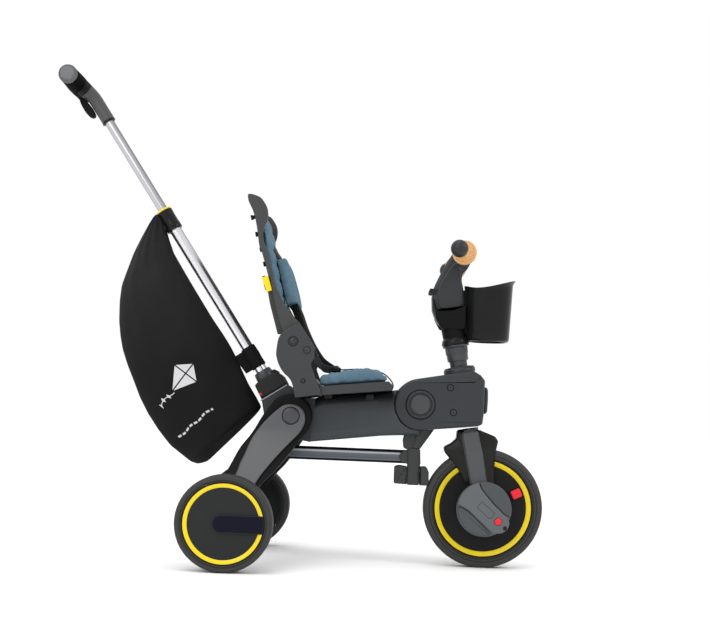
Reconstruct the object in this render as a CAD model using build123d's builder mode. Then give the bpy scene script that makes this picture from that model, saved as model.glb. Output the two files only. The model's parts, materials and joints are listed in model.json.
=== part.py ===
"""Folding children's tricycle with a telescoping push bar, an assembly of separate pieces.

Millimetres. X runs forward, Y to the rider's left, Z up, ground at Z = 0.
The origin is on the ground below the middle of the whole tricycle.
Side-view places are (x, z): x runs forward from the rear axle for the rear half,
and from the front axle for the front half, and z is the height above the ground.
"""
import os
from math import cos, radians, sin

from build123d import *

os.makedirs("parts", exist_ok=True)

# Overall sizes
WHEELBASE = 494.0
TRACK = 420.0                    # between the middles of the rear tyres
REAR_AXLE_X = -117.6             # places the middle of the whole length at X = 0
REAR_R = 90.0
FRONT_R = 120.0

# Fits
RUNNING_FIT = 0.05               # radial, around a turning shaft
SIDE_GAP = 0.4                   # between faces that slide or turn past each other
SEAT_GAP = 0.3                   # between a soft piece and what it rests on

# Wheels
TYRE_WIDTH = 40.0
REAR_TYRE_DEPTH = 14.0
REAR_RING_R = (64.6, 73.8)       # inner and outer radius of the trim ring
FRONT_TYRE_WIDTH = 36.0
FRONT_TYRE_DEPTH = 21.0
FRONT_RING_R = (85.0, 96.0)
RING_DEPTH = 1.6
SHOULDER_R = 7.0                 # rounding of the tyre's shoulders
AXLE_R = 6.0
HUB_R = 17.0
CRANK_AXLE_R = 7.0

# Pivots and joints, side view
LEG_PIVOT = (103.0, 291.0)       # from the rear axle
FOLD_PIVOT = (-135.0, 323.0)     # from the front axle
RECLINE_PIVOT = (107.0, 434.0)   # from the rear axle
STRUT_PIN = (-158.0, 217.0)      # from the front axle
STEM_HINGE = (-84.0, 508.0)      # from the front axle
PIVOT_SHAFT_R = 8.0

# Half widths across the tricycle
BEAM_HALF = 40.0
SLOT_HALF = 23.0                 # channel under the beam, which takes the folded strut
TONGUE_HALF = 31.0
HOUSING_HALF = 46.0
HANGER_HALF = 19.0
STRUT_HALF = 10.0
LEG_INNER = BEAM_HALF + 4.0
LEG_TOP_HALF = 78.0
SEAT_HALF = 115.0
PLATE = 9.0                      # thickness of the seat side plates

# Steering
LEAN = 10.5                      # steering axis, degrees back from upright
COLUMN_FOOT = (-57.0, 396.0)     # where the axis leaves the housing, from the front axle
COLUMN_R = 12.7
BLADE_INNER = 22.0
BLADE_OUTER = 33.5

# Push bar
MAST_TILT = 33.85                # degrees back from upright
MAST_FOOT = (66.5, 335.0)        # from the rear axle
OUTER_TUBE_R = 12.0
INNER_TUBE_R = 9.5
MAST_COLLAR_Z = 387.0            # along the push bar
GRIP_START = 645.0


def rear_side(y=0.0):
    """Side-view plane at the given Y, x from the rear axle. Extrusions run towards -Y."""
    return Plane(origin=(REAR_AXLE_X, y, 0), x_dir=(1, 0, 0), z_dir=(0, -1, 0))


def front_side(y=0.0):
    """Side-view plane at the given Y, x from the front axle. Extrusions run towards -Y."""
    return Plane(origin=(REAR_AXLE_X + WHEELBASE, y, 0), x_dir=(1, 0, 0), z_dir=(0, -1, 0))


def across(x=0.0, y=0.0, z=0.0):
    """Plane square to X: local x is Y, local y is Z. The x is in the tricycle's own frame."""
    return Plane(origin=(x, y, z), x_dir=(0, 1, 0), z_dir=(1, 0, 0))


def column(t=0.0):
    """Plane square to the steering axis, t above the top of the front housing."""
    lean = radians(LEAN)
    foot_x = REAR_AXLE_X + WHEELBASE + COLUMN_FOOT[0]
    return Plane(origin=(foot_x - t * sin(lean), 0, COLUMN_FOOT[1] + t * cos(lean)),
                 x_dir=(cos(lean), 0, sin(lean)), z_dir=(-sin(lean), 0, cos(lean)))


def mast(t=0.0):
    """Plane square to the push bar, t above its foot; local x points forward and up."""
    tilt = radians(MAST_TILT)
    return Plane(origin=(REAR_AXLE_X + MAST_FOOT[0] - t * sin(tilt), 0, MAST_FOOT[1] + t * cos(tilt)),
                 x_dir=(cos(tilt), 0, sin(tilt)), z_dir=(-sin(tilt), 0, cos(tilt)))


def mast_side(y=0.0):
    """Side-view plane of the push bar: local x square to the bar, local y along it."""
    tilt = radians(MAST_TILT)
    return Plane(origin=(REAR_AXLE_X + MAST_FOOT[0], y, MAST_FOOT[1]),
                 x_dir=(cos(tilt), 0, sin(tilt)), z_dir=(0, -1, 0))


def slab(plane, points, thickness, **options):
    """Extrude a straight-edged outline; a negative thickness runs against the plane's normal."""
    with BuildSketch(plane) as face:
        Polygon(*points, align=None)
    extrude(face.sketch, amount=thickness, **options)


def link(plane, start, start_r, end, end_r, thickness, **options):
    """Extrude two circles and the tangents that join them."""
    with BuildSketch(plane) as face:
        with Locations(start):
            Circle(start_r)
        with Locations(end):
            Circle(end_r)
        make_hull()
    extrude(face.sketch, amount=thickness, **options)


def bar(plane, place, radius, length, **options):
    """Extrude a circle at a place on the plane."""
    with BuildSketch(plane) as face:
        with Locations(place):
            Circle(radius)
    extrude(face.sketch, amount=length, **options)


def ring_of(axle, half_widths, radii, mode=Mode.ADD):
    """Ring about a wheel's axle: half_widths are its two Y places, radii its inner and outer."""
    x, y, z = axle
    with BuildSketch(across(x, y, z)) as section:
        with Locations(((half_widths[0] + half_widths[1]) / 2, (radii[0] + radii[1]) / 2)):
            Rectangle(abs(half_widths[1] - half_widths[0]), radii[1] - radii[0])
    revolve(section.sketch, axis=Axis((x, y, z), (0, 1, 0)), mode=mode)


def save(piece, label):
    """Name a finished piece and write its STEP file."""
    piece.part.label = label
    export_step(piece.part, f"parts/{label}.step")


SIDES = (("left", 1), ("right", -1))
FRONT_AXLE_X = REAR_AXLE_X + WHEELBASE
REAR_Z = REAR_R                  # heights of the two axles
FRONT_Z = FRONT_R


# ------------------------------------------------------------------ wheels
def build_tyre(label, axle, radius, depth, width):
    """Solid rubber tyre with rounded shoulders."""
    x, y, z = axle
    with BuildPart() as tyre:
        with BuildSketch(across(x, y, z)):
            with Locations((0, radius - depth / 2)):
                Rectangle(width, depth)
            fillet(vertices().group_by(Axis.Y)[-1], SHOULDER_R)
        revolve(axis=Axis(axle, (0, 1, 0)))
    save(tyre, label)


REAR_RIM_R = REAR_R - REAR_TYRE_DEPTH
DISC_FACE = TYRE_WIDTH / 2 - 5.0          # outer face of a rear wheel's disc, from the tyre's middle
DISC_WEB = 8.0
RIM_HALF = 14.0
RIM_WALL = 5.0
HUB_INNER = TYRE_WIDTH / 2 + 0.3
LEG_FACE = TRACK / 2 - TYRE_WIDTH / 2 - 2.0   # outer face of a leg at its axle

for name, s in SIDES:
    axle = (REAR_AXLE_X, s * TRACK / 2, REAR_Z)
    build_tyre(f"rear_tyre_{name}", axle, REAR_R, REAR_TYRE_DEPTH, TYRE_WIDTH)
    with BuildPart() as wheel:
        ring_of(axle, (-RIM_HALF, RIM_HALF), (REAR_RIM_R - RIM_WALL, REAR_RIM_R))
        ring_of(axle, (s * (DISC_FACE - DISC_WEB), s * DISC_FACE), (0, REAR_RIM_R))
        ring_of(axle, (-s * HUB_INNER, s * DISC_FACE), (0, HUB_R))
        ring_of(axle, (-s * HUB_INNER, s * (DISC_FACE - DISC_WEB + 3)), (0, AXLE_R + RUNNING_FIT),
                mode=Mode.SUBTRACT)
    save(wheel, f"rear_wheel_{name}")
    with BuildPart() as ring:
        ring_of(axle, (s * DISC_FACE, s * (DISC_FACE + RING_DEPTH)), REAR_RING_R)
    save(ring, f"rear_trim_ring_{name}")

# ------------------------------------------------------------------ rear legs
LEG_TOP_R = 43.0
LEG_ELBOW = (38.0, 204.0)
LEG_ELBOW_R = 37.0
LEG_FOOT_R = 24.0
COVER = 7.0                      # thickness of the lighter outer cover
COVER_RIM = 12.0                 # how far the core shows around the cover
REACH = 400.0                    # longer than any piece that it cuts
LEG_WAIST_Z = 262.0              # the legs run straight down to here, then splay out
LEG_FOOT_Z = 128.0
LEG_FOOT_THICK = 36.0


def leg_band(s, outer_offset, thickness):
    """Rear-view band of a leg: upright at the pivot, splayed to the wheel, upright again."""
    top = LEG_TOP_HALF + outer_offset
    foot = LEG_FACE + outer_offset
    return [(s * top, REACH), (s * top, LEG_WAIST_Z), (s * foot, LEG_FOOT_Z), (s * foot, 0),
            (s * (foot - thickness[1]), 0), (s * (foot - thickness[1]), LEG_FOOT_Z),
            (s * (top - thickness[0]), LEG_WAIST_Z), (s * (top - thickness[0]), REACH)]


for name, s in SIDES:
    with BuildPart() as leg:
        link(rear_side(), LEG_PIVOT, LEG_TOP_R, LEG_ELBOW, LEG_ELBOW_R, REACH, both=True)
        link(rear_side(), LEG_ELBOW, LEG_ELBOW_R, (0, REAR_Z), LEG_FOOT_R, REACH, both=True)
        slab(across(), leg_band(s, 0, (LEG_TOP_HALF - LEG_INNER, LEG_FOOT_THICK)), REACH,
             both=True, mode=Mode.INTERSECT)
        bar(rear_side(), LEG_PIVOT, PIVOT_SHAFT_R + RUNNING_FIT, REACH, both=True, mode=Mode.SUBTRACT)
        bar(rear_side(), (0, REAR_Z), AXLE_R, REACH, both=True, mode=Mode.SUBTRACT)
    save(leg, f"rear_leg_{name}")

LEG_CAP_R = 17.0
CAP_RISE = 1.5
COVER_ELBOW = (LEG_ELBOW[0] + 4.0, LEG_ELBOW[1])
COVER_FOOT = (18.0, 142.0)
COVER_FOOT_R = 20.0
with BuildPart() as covers:
    link(rear_side(), LEG_PIVOT, LEG_TOP_R - COVER_RIM, COVER_ELBOW, LEG_ELBOW_R - COVER_RIM,
         REACH, both=True)
    link(rear_side(), COVER_ELBOW, LEG_ELBOW_R - COVER_RIM, COVER_FOOT, COVER_FOOT_R, REACH, both=True)
    with BuildSketch(across()):
        for name, s in SIDES:
            Polygon(*leg_band(s, COVER, (COVER, COVER)), align=None)
    extrude(amount=REACH, both=True, mode=Mode.INTERSECT)
    for name, s in SIDES:
        bar(rear_side(s * (LEG_TOP_HALF + COVER)), LEG_PIVOT, LEG_CAP_R, -s * CAP_RISE)
save(covers, "leg_covers")

CROSS_TUBE = (62.0, 195.0)
CROSS_TUBE_R = 8.0
FOOT_INNER = LEG_FACE - LEG_FOOT_THICK
SPLAY = (FOOT_INNER - LEG_INNER) / (LEG_WAIST_Z - LEG_FOOT_Z)   # run of a leg's inner face per mm down
CROSS_TUBE_HALF = LEG_INNER + SPLAY * (LEG_WAIST_Z - CROSS_TUBE[1] - CROSS_TUBE_R)
AXLE_END = TRACK / 2 + DISC_FACE - DISC_WEB + 2.0
with BuildPart() as axles:
    for name, s in SIDES:
        bar(rear_side(s * AXLE_END), (0, REAR_Z), AXLE_R, s * (AXLE_END - FOOT_INNER))
    bar(rear_side(), CROSS_TUBE, CROSS_TUBE_R, CROSS_TUBE_HALF, both=True)
save(axles, "rear_axles")

# ------------------------------------------------------------------ frame
BEAM_ROUND = 20.0
BEAM_ROOF = 12.0
TONGUE_R = 40.0
HOUSING_R = 52.0                 # round rear end of the front housing
BEAM_CUT_R = HOUSING_R + 2.0
ROD_SLOT_HALF = 16.0
SPAN = WHEELBASE + FOLD_PIVOT[0]         # fold pivot, from the rear axle
BEAM_TOP = ((163.0, 333.2), (SPAN - 47, 349.2))
BEAM_BOTTOM = ((143.0, 240.0), (SPAN - 20, 264.0))


def beam_top_at(x):
    """Height of the beam's top at x from the rear axle."""
    (x0, z0), (x1, z1) = BEAM_TOP
    return z0 + (z1 - z0) * (x - x0) / (x1 - x0)


with BuildPart() as beam:
    slab(rear_side(), [BEAM_BOTTOM[0], BEAM_BOTTOM[1], (SPAN, 300), BEAM_TOP[1], BEAM_TOP[0],
                       (150, 328)], BEAM_HALF, both=True)
    fillet(edges().filter_by(lambda e: abs(e.center().Y) > BEAM_HALF - 1
                             and abs(e.tangent_at(0.5).X) > 0.9), BEAM_ROUND)
    bar(rear_side(), (SPAN, FOLD_PIVOT[1]), BEAM_CUT_R, REACH, both=True, mode=Mode.SUBTRACT)
    link(rear_side(), (SPAN, FOLD_PIVOT[1]), TONGUE_R, (SPAN - 66, 304), TONGUE_R - 8,
         TONGUE_HALF, both=True)
    slab(rear_side(), [(0, 0), (SPAN + 60, 0), (SPAN + 60, 400), (SPAN - 54, 400),
                       (BEAM_TOP[1][0] - 8, BEAM_TOP[1][1] - BEAM_ROOF),
                       (BEAM_TOP[0][0], BEAM_TOP[0][1] - BEAM_ROOF),
                       (0, BEAM_TOP[0][1] - BEAM_ROOF)],
         SLOT_HALF, both=True, mode=Mode.SUBTRACT)
    bar(rear_side(), (SPAN, FOLD_PIVOT[1]), PIVOT_SHAFT_R, REACH, both=True, mode=Mode.SUBTRACT)
save(beam, "main_beam")

with BuildPart() as shaft:
    bar(rear_side(), (SPAN, FOLD_PIVOT[1]), PIVOT_SHAFT_R, HOUSING_HALF - 10, both=True)
save(shaft, "fold_shaft")

HOUSE_HALF = BEAM_HALF + 3.6
HOUSE = [(43.0, 319.0), (49.0, 289.0), (64.0, 262.0), (98.0, 247.0), (BEAM_BOTTOM[0][0], BEAM_BOTTOM[0][1]),
         (150.0, 328.0), (110.0, 325.0), (101.5, 346.5), (93.0, 352.0)]
with BuildPart() as housing:
    slab(rear_side(), HOUSE, HOUSE_HALF, both=True)
    fillet(edges().filter_by(lambda e: abs(e.center().Y) > HOUSE_HALF - 1
                             and e.center().X < REAR_AXLE_X + 60), 8)
    slab(rear_side(), [(0, 0), (200, 0), (200, 268), (0, 268)], ROD_SLOT_HALF, both=True,
         mode=Mode.SUBTRACT)
    bar(rear_side(), LEG_PIVOT, PIVOT_SHAFT_R, REACH, both=True, mode=Mode.SUBTRACT)
save(housing, "rear_housing")

with BuildPart() as shaft:
    bar(rear_side(), LEG_PIVOT, PIVOT_SHAFT_R, LEG_TOP_HALF - 0.5, both=True)
save(shaft, "leg_pivot_shaft")

# ------------------------------------------------------------------ seat
PAN_BACK = 112.0
PAN_REAR_BAR = 160.0             # where the pan's floor starts to lie on the beam
PAN_FRONT = 303.0
PAN_LIP = 368.0                  # top of the pan's rear lip, between the side plates
PAN_TOP = ((160.0, 350.0), (293.0, 365.0))
with BuildPart() as pan:
    slab(rear_side(), [(PAN_BACK, 337), (140, 337), (PAN_REAR_BAR, beam_top_at(PAN_REAR_BAR) + SEAT_GAP),
                       (PAN_FRONT - 4, beam_top_at(PAN_FRONT - 4) + SEAT_GAP), (PAN_FRONT, 356), PAN_TOP[1],
                       PAN_TOP[0], (146, PAN_LIP), (PAN_BACK, PAN_LIP)], SEAT_HALF, both=True)
    fillet(edges().filter_by(lambda e: abs(e.center().Y) < 1 and e.center().X > REAR_AXLE_X + 290), 3)
save(pan, "seat_pan")

CUSHION_HALF = SEAT_HALF - 6.0
with BuildPart() as cushion:
    with BuildSketch(rear_side()):
        with BuildLine():
            Spline((160, 368), (200, 378), (240, 386), (272, 383.5), (291, 370))
            Polyline((291, 370), (PAN_TOP[1][0] - 3, PAN_TOP[1][1]),
                     (PAN_TOP[0][0] + 2, PAN_TOP[0][1] + 0.6), (160, 368))
        make_face()
    extrude(amount=CUSHION_HALF, both=True)
save(cushion, "seat_cushion")

PLATE_INNER = SEAT_HALF + SEAT_GAP
PLATE_OUTER = PLATE_INNER + PLATE
PIVOT_BOLT_R = 5.0
SMALL_BOLT_R = 3.0
STOP_BOLT = (134.0, 418.0)
PAN_BOLT = (129.0, 359.0)
for name, s in SIDES:
    with BuildPart() as bracket:
        with BuildSketch(rear_side(s * PLATE_INNER)):
            with BuildLine():
                Spline((119, 467), (87, 452), (75, 411), (93, 371), (110, 345))
                Polyline((110, 345), (114, 327), (165, 334), (142, 392), (149, 403), (149, 425), (119, 467))
            make_face()
        extrude(amount=-s * PLATE)
        chamfer(faces().sort_by(Axis.Y)[-1 if s > 0 else 0].edges(), 1.2)
        bar(rear_side(), RECLINE_PIVOT, PIVOT_BOLT_R, REACH, both=True, mode=Mode.SUBTRACT)
        for bolt in (STOP_BOLT, PAN_BOLT):
            bar(rear_side(), bolt, SMALL_BOLT_R, REACH, both=True, mode=Mode.SUBTRACT)
    save(bracket, f"seat_bracket_{name}")

ARM_OUTER = SEAT_HALF - 0.1      # outer face of the backrest's side wings
WING = 10.0
with BuildPart() as bolts:
    for name, s in SIDES:
        for place, radius, inner in ((RECLINE_PIVOT, PIVOT_BOLT_R, ARM_OUTER - WING),
                                     (STOP_BOLT, SMALL_BOLT_R, PLATE_INNER),
                                     (PAN_BOLT, SMALL_BOLT_R, PLATE_INNER)):
            bar(rear_side(s * inner), place, radius, -s * (PLATE_OUTER - inner))
            bar(rear_side(s * PLATE_OUTER), place, radius + 3.5, -s * 3)
save(bolts, "bracket_bolts")

# ------------------------------------------------------------------ front end
SHELL_INNER = TONGUE_HALF + SIDE_GAP
SHELL_CHAMFER = 7.0
BUTTON_R = 21.0
BUTTON_TRAVEL = 4.0
BUTTON_FLOOR = HOUSING_HALF - 9.4
BUTTON_TOP = HOUSING_HALF + 1.2
BUTTON_THICK = 6.0
SHELL = [(-152, 372), (-88, 384), (-32, 395), (-10, 379), (-8, 308), (-11, 288), (-19, 285),
         (-60, 281), (-111, 276.5), (-135, 300)]
SCREWS = ((-77.0, 359.0), (-69.0, 310.0))
SCREW_R = 2.5
SCREW_HEAD_R = 6.0
for name, s in SIDES:
    with BuildPart() as shell:
        slab(front_side(s * SHELL_INNER), SHELL, -s * (HOUSING_HALF - SHELL_INNER))
        bar(front_side(s * SHELL_INNER), FOLD_PIVOT, HOUSING_R, -s * (HOUSING_HALF - SHELL_INNER))
        chamfer(faces().sort_by(Axis.Y)[-1 if s > 0 else 0].edges(), SHELL_CHAMFER)
        bar(front_side(s * HOUSING_HALF), FOLD_PIVOT, BUTTON_R + 7, -s * 1.2)
        bar(front_side(s * BUTTON_FLOOR), FOLD_PIVOT, BUTTON_R + SIDE_GAP, -s * REACH, mode=Mode.SUBTRACT)
        bar(front_side(), FOLD_PIVOT, PIVOT_SHAFT_R + RUNNING_FIT, REACH, both=True, mode=Mode.SUBTRACT)
        for place in SCREWS:
            bar(front_side(), place, SCREW_R, REACH, both=True, mode=Mode.SUBTRACT)
            bar(front_side(s * (HOUSING_HALF - 2.5)), place, SCREW_HEAD_R + 0.6, -s * 9, mode=Mode.SUBTRACT)
    save(shell, f"front_housing_{name}")
    with BuildPart() as button:
        bar(front_side(s * (BUTTON_TOP - BUTTON_THICK)), FOLD_PIVOT, BUTTON_R, -s * BUTTON_THICK)
        fillet(edges().sort_by(Axis.Y)[-1 if s > 0 else 0], 1.5)
    save(button, f"fold_button_{name}")

SCREW_DEPTH = 22.0
with BuildPart() as screws:
    for name, s in SIDES:
        for place in SCREWS:
            bar(front_side(s * SCREW_DEPTH), place, SCREW_R, -s * (HOUSING_HALF - 2.5 - SCREW_DEPTH))
            bar(front_side(s * (HOUSING_HALF - 2.5)), place, SCREW_HEAD_R, -s * 2)
save(screws, "housing_screws")

BLOCK = [(-96, 284), (-60, 284.5), (-19, 285.5), (-11, 288.5), (-8, 308), (-10, 379), (-32, 395),
         (-88, 384), (-152, 372), (-160, 362), (-150, 345), (-96, 312)]
with BuildPart() as block:
    slab(front_side(), BLOCK, TONGUE_HALF + 0.2, both=True)
    slab(front_side(), [(-10, 311), (-1, 313), (-1, 361), (-10, 363)], 24, both=True)
    bar(column(-8), (0, 0), 30, 14)
    bar(front_side(), FOLD_PIVOT, TONGUE_R + 1.4, REACH, both=True, mode=Mode.SUBTRACT)
    bar(column(), (0, 0), COLUMN_R + RUNNING_FIT, 150, both=True, mode=Mode.SUBTRACT)
    for name, s in SIDES:
        for place in SCREWS:
            bar(front_side(s * SCREW_DEPTH), place, SCREW_R, -s * REACH, mode=Mode.SUBTRACT)
save(block, "head_block")

CHEEK_INNER = STRUT_HALF + 1.0
PIN_R = 5.0
WING_AXIS = (16.0, 166.0)        # hinge of each footrest wing: half width and height
WING_PIN_R = 3.0
KNUCKLE_R = 5.5
KNUCKLE_X = (-155.0, -130.0)
KNUCKLE_LENGTH = KNUCKLE_X[1] - KNUCKLE_X[0]
with BuildPart() as hanger:
    slab(front_side(), [(-165, 234), (-131, 235), (-109, 266), (-96.2, 286), (-96.2, 305), (-144, 300),
                        (-165, 262)], HANGER_HALF, both=True)
    slab(front_side(), [(-170, 240), (KNUCKLE_X[1], 240), (KNUCKLE_X[1], WING_AXIS[1]),
                        (KNUCKLE_X[0], WING_AXIS[1]), (KNUCKLE_X[0], 205)], HANGER_HALF, both=True)
    bar(front_side(), STRUT_PIN, 15, HANGER_HALF, both=True)
    slab(front_side(), [(-190, 100), (-110, 100), (-110, 234), (-190, 234)], CHEEK_INNER, both=True,
         mode=Mode.SUBTRACT)
    bar(front_side(), STRUT_PIN, PIN_R, HANGER_HALF + 1.5, both=True)
    for name, s in SIDES:
        bar(across(FRONT_AXLE_X + KNUCKLE_X[0]), (s * WING_AXIS[0], WING_AXIS[1]), KNUCKLE_R, KNUCKLE_LENGTH)
        bar(across(FRONT_AXLE_X + KNUCKLE_X[0]), (s * WING_AXIS[0], WING_AXIS[1]), WING_PIN_R + RUNNING_FIT,
            KNUCKLE_LENGTH, mode=Mode.SUBTRACT)
save(hanger, "strut_bracket")

STRUT_BACK = 56.0 - WHEELBASE    # rear end of the strut, from the front axle
STRUT_HEIGHT = 27.0
STRUT_BOTTOM = STRUT_PIN[1] - STRUT_HEIGHT / 2
STRUT_TOP = STRUT_PIN[1] + STRUT_HEIGHT / 2
with BuildPart() as strut:
    slab(front_side(), [(STRUT_BACK, STRUT_BOTTOM), (STRUT_PIN[0], STRUT_BOTTOM), (STRUT_PIN[0], STRUT_TOP),
                        (STRUT_BACK, STRUT_TOP)], STRUT_HALF, both=True)
    bar(front_side(), STRUT_PIN, STRUT_HEIGHT / 2, STRUT_HALF, both=True)
    fillet(edges().filter_by(Axis.X), 5)
    bar(front_side(), STRUT_PIN, PIN_R + RUNNING_FIT, REACH, both=True, mode=Mode.SUBTRACT)
save(strut, "fold_strut")

LOBE_TOP = 201.0
LOBES = ((-181.0, -156.5), (-128.5, -116.0))     # front and rear lobe of a footrest wing
for name, s in SIDES:
    with BuildPart() as wing:
        for start, end in LOBES:
            with BuildSketch(across(FRONT_AXLE_X + start)):
                with Locations((s * WING_AXIS[0], (WING_AXIS[1] + LOBE_TOP) / 2)):
                    Rectangle(2 * KNUCKLE_R - 4, LOBE_TOP - WING_AXIS[1])
                with Locations((s * WING_AXIS[0], WING_AXIS[1])):
                    Circle(KNUCKLE_R)
            extrude(amount=end - start)
        bar(across(FRONT_AXLE_X + LOBES[0][0] + 2), (s * WING_AXIS[0], WING_AXIS[1]), WING_PIN_R,
            LOBES[1][1] - LOBES[0][0] - 4)
    save(wing, f"footrest_{name}")

# ------------------------------------------------------------------ steering
NECK_TOP = -119.0                # along the steering axis, just under the front housing
TUBE_FOOT = NECK_TOP - 15.0
TUBE_TOP = 70.0
NECK_R = 21.0
with BuildPart() as tube:
    bar(column(TUBE_FOOT), (0, 0), COLUMN_R, TUBE_TOP - TUBE_FOOT)
    bar(column(6 + SIDE_GAP), (0, 0), 17.5, 14)
    bar(column(20), (0, 0), 21, 26)
    bar(column(45), (0, 0), 27, 5)
    fillet(edges().filter_by(GeomType.CIRCLE).sort_by(lambda e: -e.radius)[0:2], 2)
save(tube, "steering_tube")

BLADE_R = 17.0
CROWN = (-33.0, FRONT_Z + 142.0)
CROWN_FOOT = FRONT_Z + 125.5     # underside of the fork's crown
TYRE_CLEAR_R = FRONT_R + 4.0
with BuildPart() as fork:
    link(front_side(), (0, FRONT_Z), BLADE_R, CROWN, BLADE_R, BLADE_OUTER, both=True)
    bar(column(TUBE_FOOT - 8), (0, 0), NECK_R, NECK_TOP - TUBE_FOOT + 8)
    slab(front_side(), [(-80, 0), (40, 0), (40, CROWN_FOOT + 0.5), (-80, CROWN_FOOT + 0.5)], BLADE_INNER,
         both=True, mode=Mode.SUBTRACT)
    bar(column(TUBE_FOOT), (0, 0), COLUMN_R, REACH, mode=Mode.SUBTRACT)
    bar(front_side(), (0, FRONT_Z), CRANK_AXLE_R + RUNNING_FIT, REACH, both=True, mode=Mode.SUBTRACT)
save(fork, "fork")

FENDER_HALF = BLADE_INNER - 0.4
FENDER_WALL = 2.4
with BuildPart() as fender:
    slab(front_side(), [(-57, 274), (-58, 259), (-66, 249), (-83, 239), (-81, 232), (-55, 200), (-39, 171),
                        (3, 171), (21, 182), (20, 212), (25, 258), (18, 265), (-15, 276)],
         FENDER_HALF, both=True)
    bar(front_side(), (0, FRONT_Z), TYRE_CLEAR_R, FENDER_HALF - FENDER_WALL, both=True, mode=Mode.SUBTRACT)
    slab(front_side(), [(-56, CROWN_FOOT), (-9, CROWN_FOOT), (-13, 300), (-56, 300)], REACH, both=True,
         mode=Mode.SUBTRACT)
save(fender, "fender")

STEM_HALF = 19.4
CHEEK = 7.6
ARM_R = 28.0
FOLDED_ARM_R = ARM_R + 5.5       # room for the arm's heel as it folds back
HINGE_PIN_R = 5.0
BAR_R = 9.5
BAR_PLACE = (-59.0, 618.0)
with BuildPart() as socket:
    slab(front_side(), [(-92, 450), (-52, 456), (-53, 485), (-53, 508), (-114, 508), (-112, 490),
                        (-101, 478)], STEM_HALF + CHEEK, both=True)
    bar(front_side(), STEM_HINGE, ARM_R + 3, STEM_HALF + CHEEK, both=True)
    chamfer(faces().filter_by(lambda f: abs(f.center().Y) > STEM_HALF + CHEEK - 1).edges(), 3)
    bar(front_side(), STEM_HINGE, ARM_R + 0.5, STEM_HALF + SIDE_GAP, both=True, mode=Mode.SUBTRACT)
    slab(front_side(), [(-140, STEM_HINGE[1] - FOLDED_ARM_R), (STEM_HINGE[0], STEM_HINGE[1] - FOLDED_ARM_R),
                        (STEM_HINGE[0], STEM_HINGE[1]), (-40, STEM_HINGE[1]), (-40, 600), (-140, 600)],
         STEM_HALF + SIDE_GAP, both=True, mode=Mode.SUBTRACT)
    bar(column(), (0, 0), COLUMN_R, TUBE_TOP, mode=Mode.SUBTRACT)
    slab(front_side(), [(-120, 440), (-40, 440), (-40, 449), (-120, 441)], REACH, both=True,
         mode=Mode.SUBTRACT)
    bar(front_side(), STEM_HINGE, HINGE_PIN_R, STEM_HALF + CHEEK, both=True)
save(socket, "stem_socket")

with BuildPart() as arm:
    with BuildSketch(front_side()):
        with BuildLine():
            Spline((-72, 631), (-91, 614), (-112, 566), (-117, 540), (STEM_HINGE[0] - ARM_R, STEM_HINGE[1]))
            Line((STEM_HINGE[0] - ARM_R, STEM_HINGE[1]), (STEM_HINGE[0] + ARM_R, STEM_HINGE[1]))
            Spline((STEM_HINGE[0] + ARM_R, STEM_HINGE[1]), (-58, 560), (-59, 584), (-46, 612))
            Line((-46, 612), (-72, 631))
        make_face()
    extrude(amount=STEM_HALF, both=True)
    bar(front_side(), STEM_HINGE, ARM_R, STEM_HALF, both=True)
    bar(front_side(), BAR_PLACE, BAR_R + 4.5, STEM_HALF, both=True)
    bar(front_side(), STEM_HINGE, HINGE_PIN_R + RUNNING_FIT, REACH, both=True, mode=Mode.SUBTRACT)
    bar(front_side(), BAR_PLACE, BAR_R, REACH, both=True, mode=Mode.SUBTRACT)
save(arm, "stem_arm")

SWEEP_BACK = 15.0                # degrees that the grips angle rearwards
BEND_Y = 90.0
BAR_END = 84.0                   # from the bend, along a grip
BAR_BEND_R = 45.0
BAR_X = FRONT_AXLE_X + BAR_PLACE[0]


def grip_end(s, t):
    """Plane square to a grip, t outwards from the bend in the crossbar."""
    sweep = radians(SWEEP_BACK)
    return Plane(origin=(BAR_X - t * sin(sweep), s * (BEND_Y + t * cos(sweep)), BAR_PLACE[1]),
                 x_dir=(0, 0, 1), z_dir=(-sin(sweep), s * cos(sweep), 0))


with BuildPart() as crossbar:
    with BuildLine() as path:
        FilletPolyline(grip_end(-1, BAR_END).origin, grip_end(-1, 0).origin, grip_end(1, 0).origin,
                       grip_end(1, BAR_END).origin, radius=BAR_BEND_R)
    with BuildSketch(grip_end(-1, BAR_END)):
        Circle(BAR_R)
    sweep()
save(crossbar, "crossbar")

GUARD_R = 23.6
GUARD = (16.0, 13.0)             # start along the grip, thickness
with BuildPart() as guards:
    for name, s in SIDES:
        with BuildSketch(grip_end(s, GUARD[0])):
            Circle(GUARD_R)
        extrude(amount=GUARD[1])
    fillet(edges(), 5)
    for name, s in SIDES:
        bar(grip_end(s, GUARD[0]), (0, 0), BAR_R, REACH, both=True, mode=Mode.SUBTRACT)
save(guards, "wood_guards")

GRIP = (29.5, 64.0)
GRIP_R = 14.5
BALL_R = 16.7
with BuildPart() as grips:
    for name, s in SIDES:
        bar(grip_end(s, GRIP[0]), (0, 0), GRIP_R, GRIP[1] - 12)
        with Locations(grip_end(s, GRIP[0] + GRIP[1] - BALL_R)):
            Sphere(BALL_R)
        bar(grip_end(s, GRIP[0] - 1), (0, 0), BAR_R, BAR_END - GRIP[0] + 1, mode=Mode.SUBTRACT)
save(grips, "grips")

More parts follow.
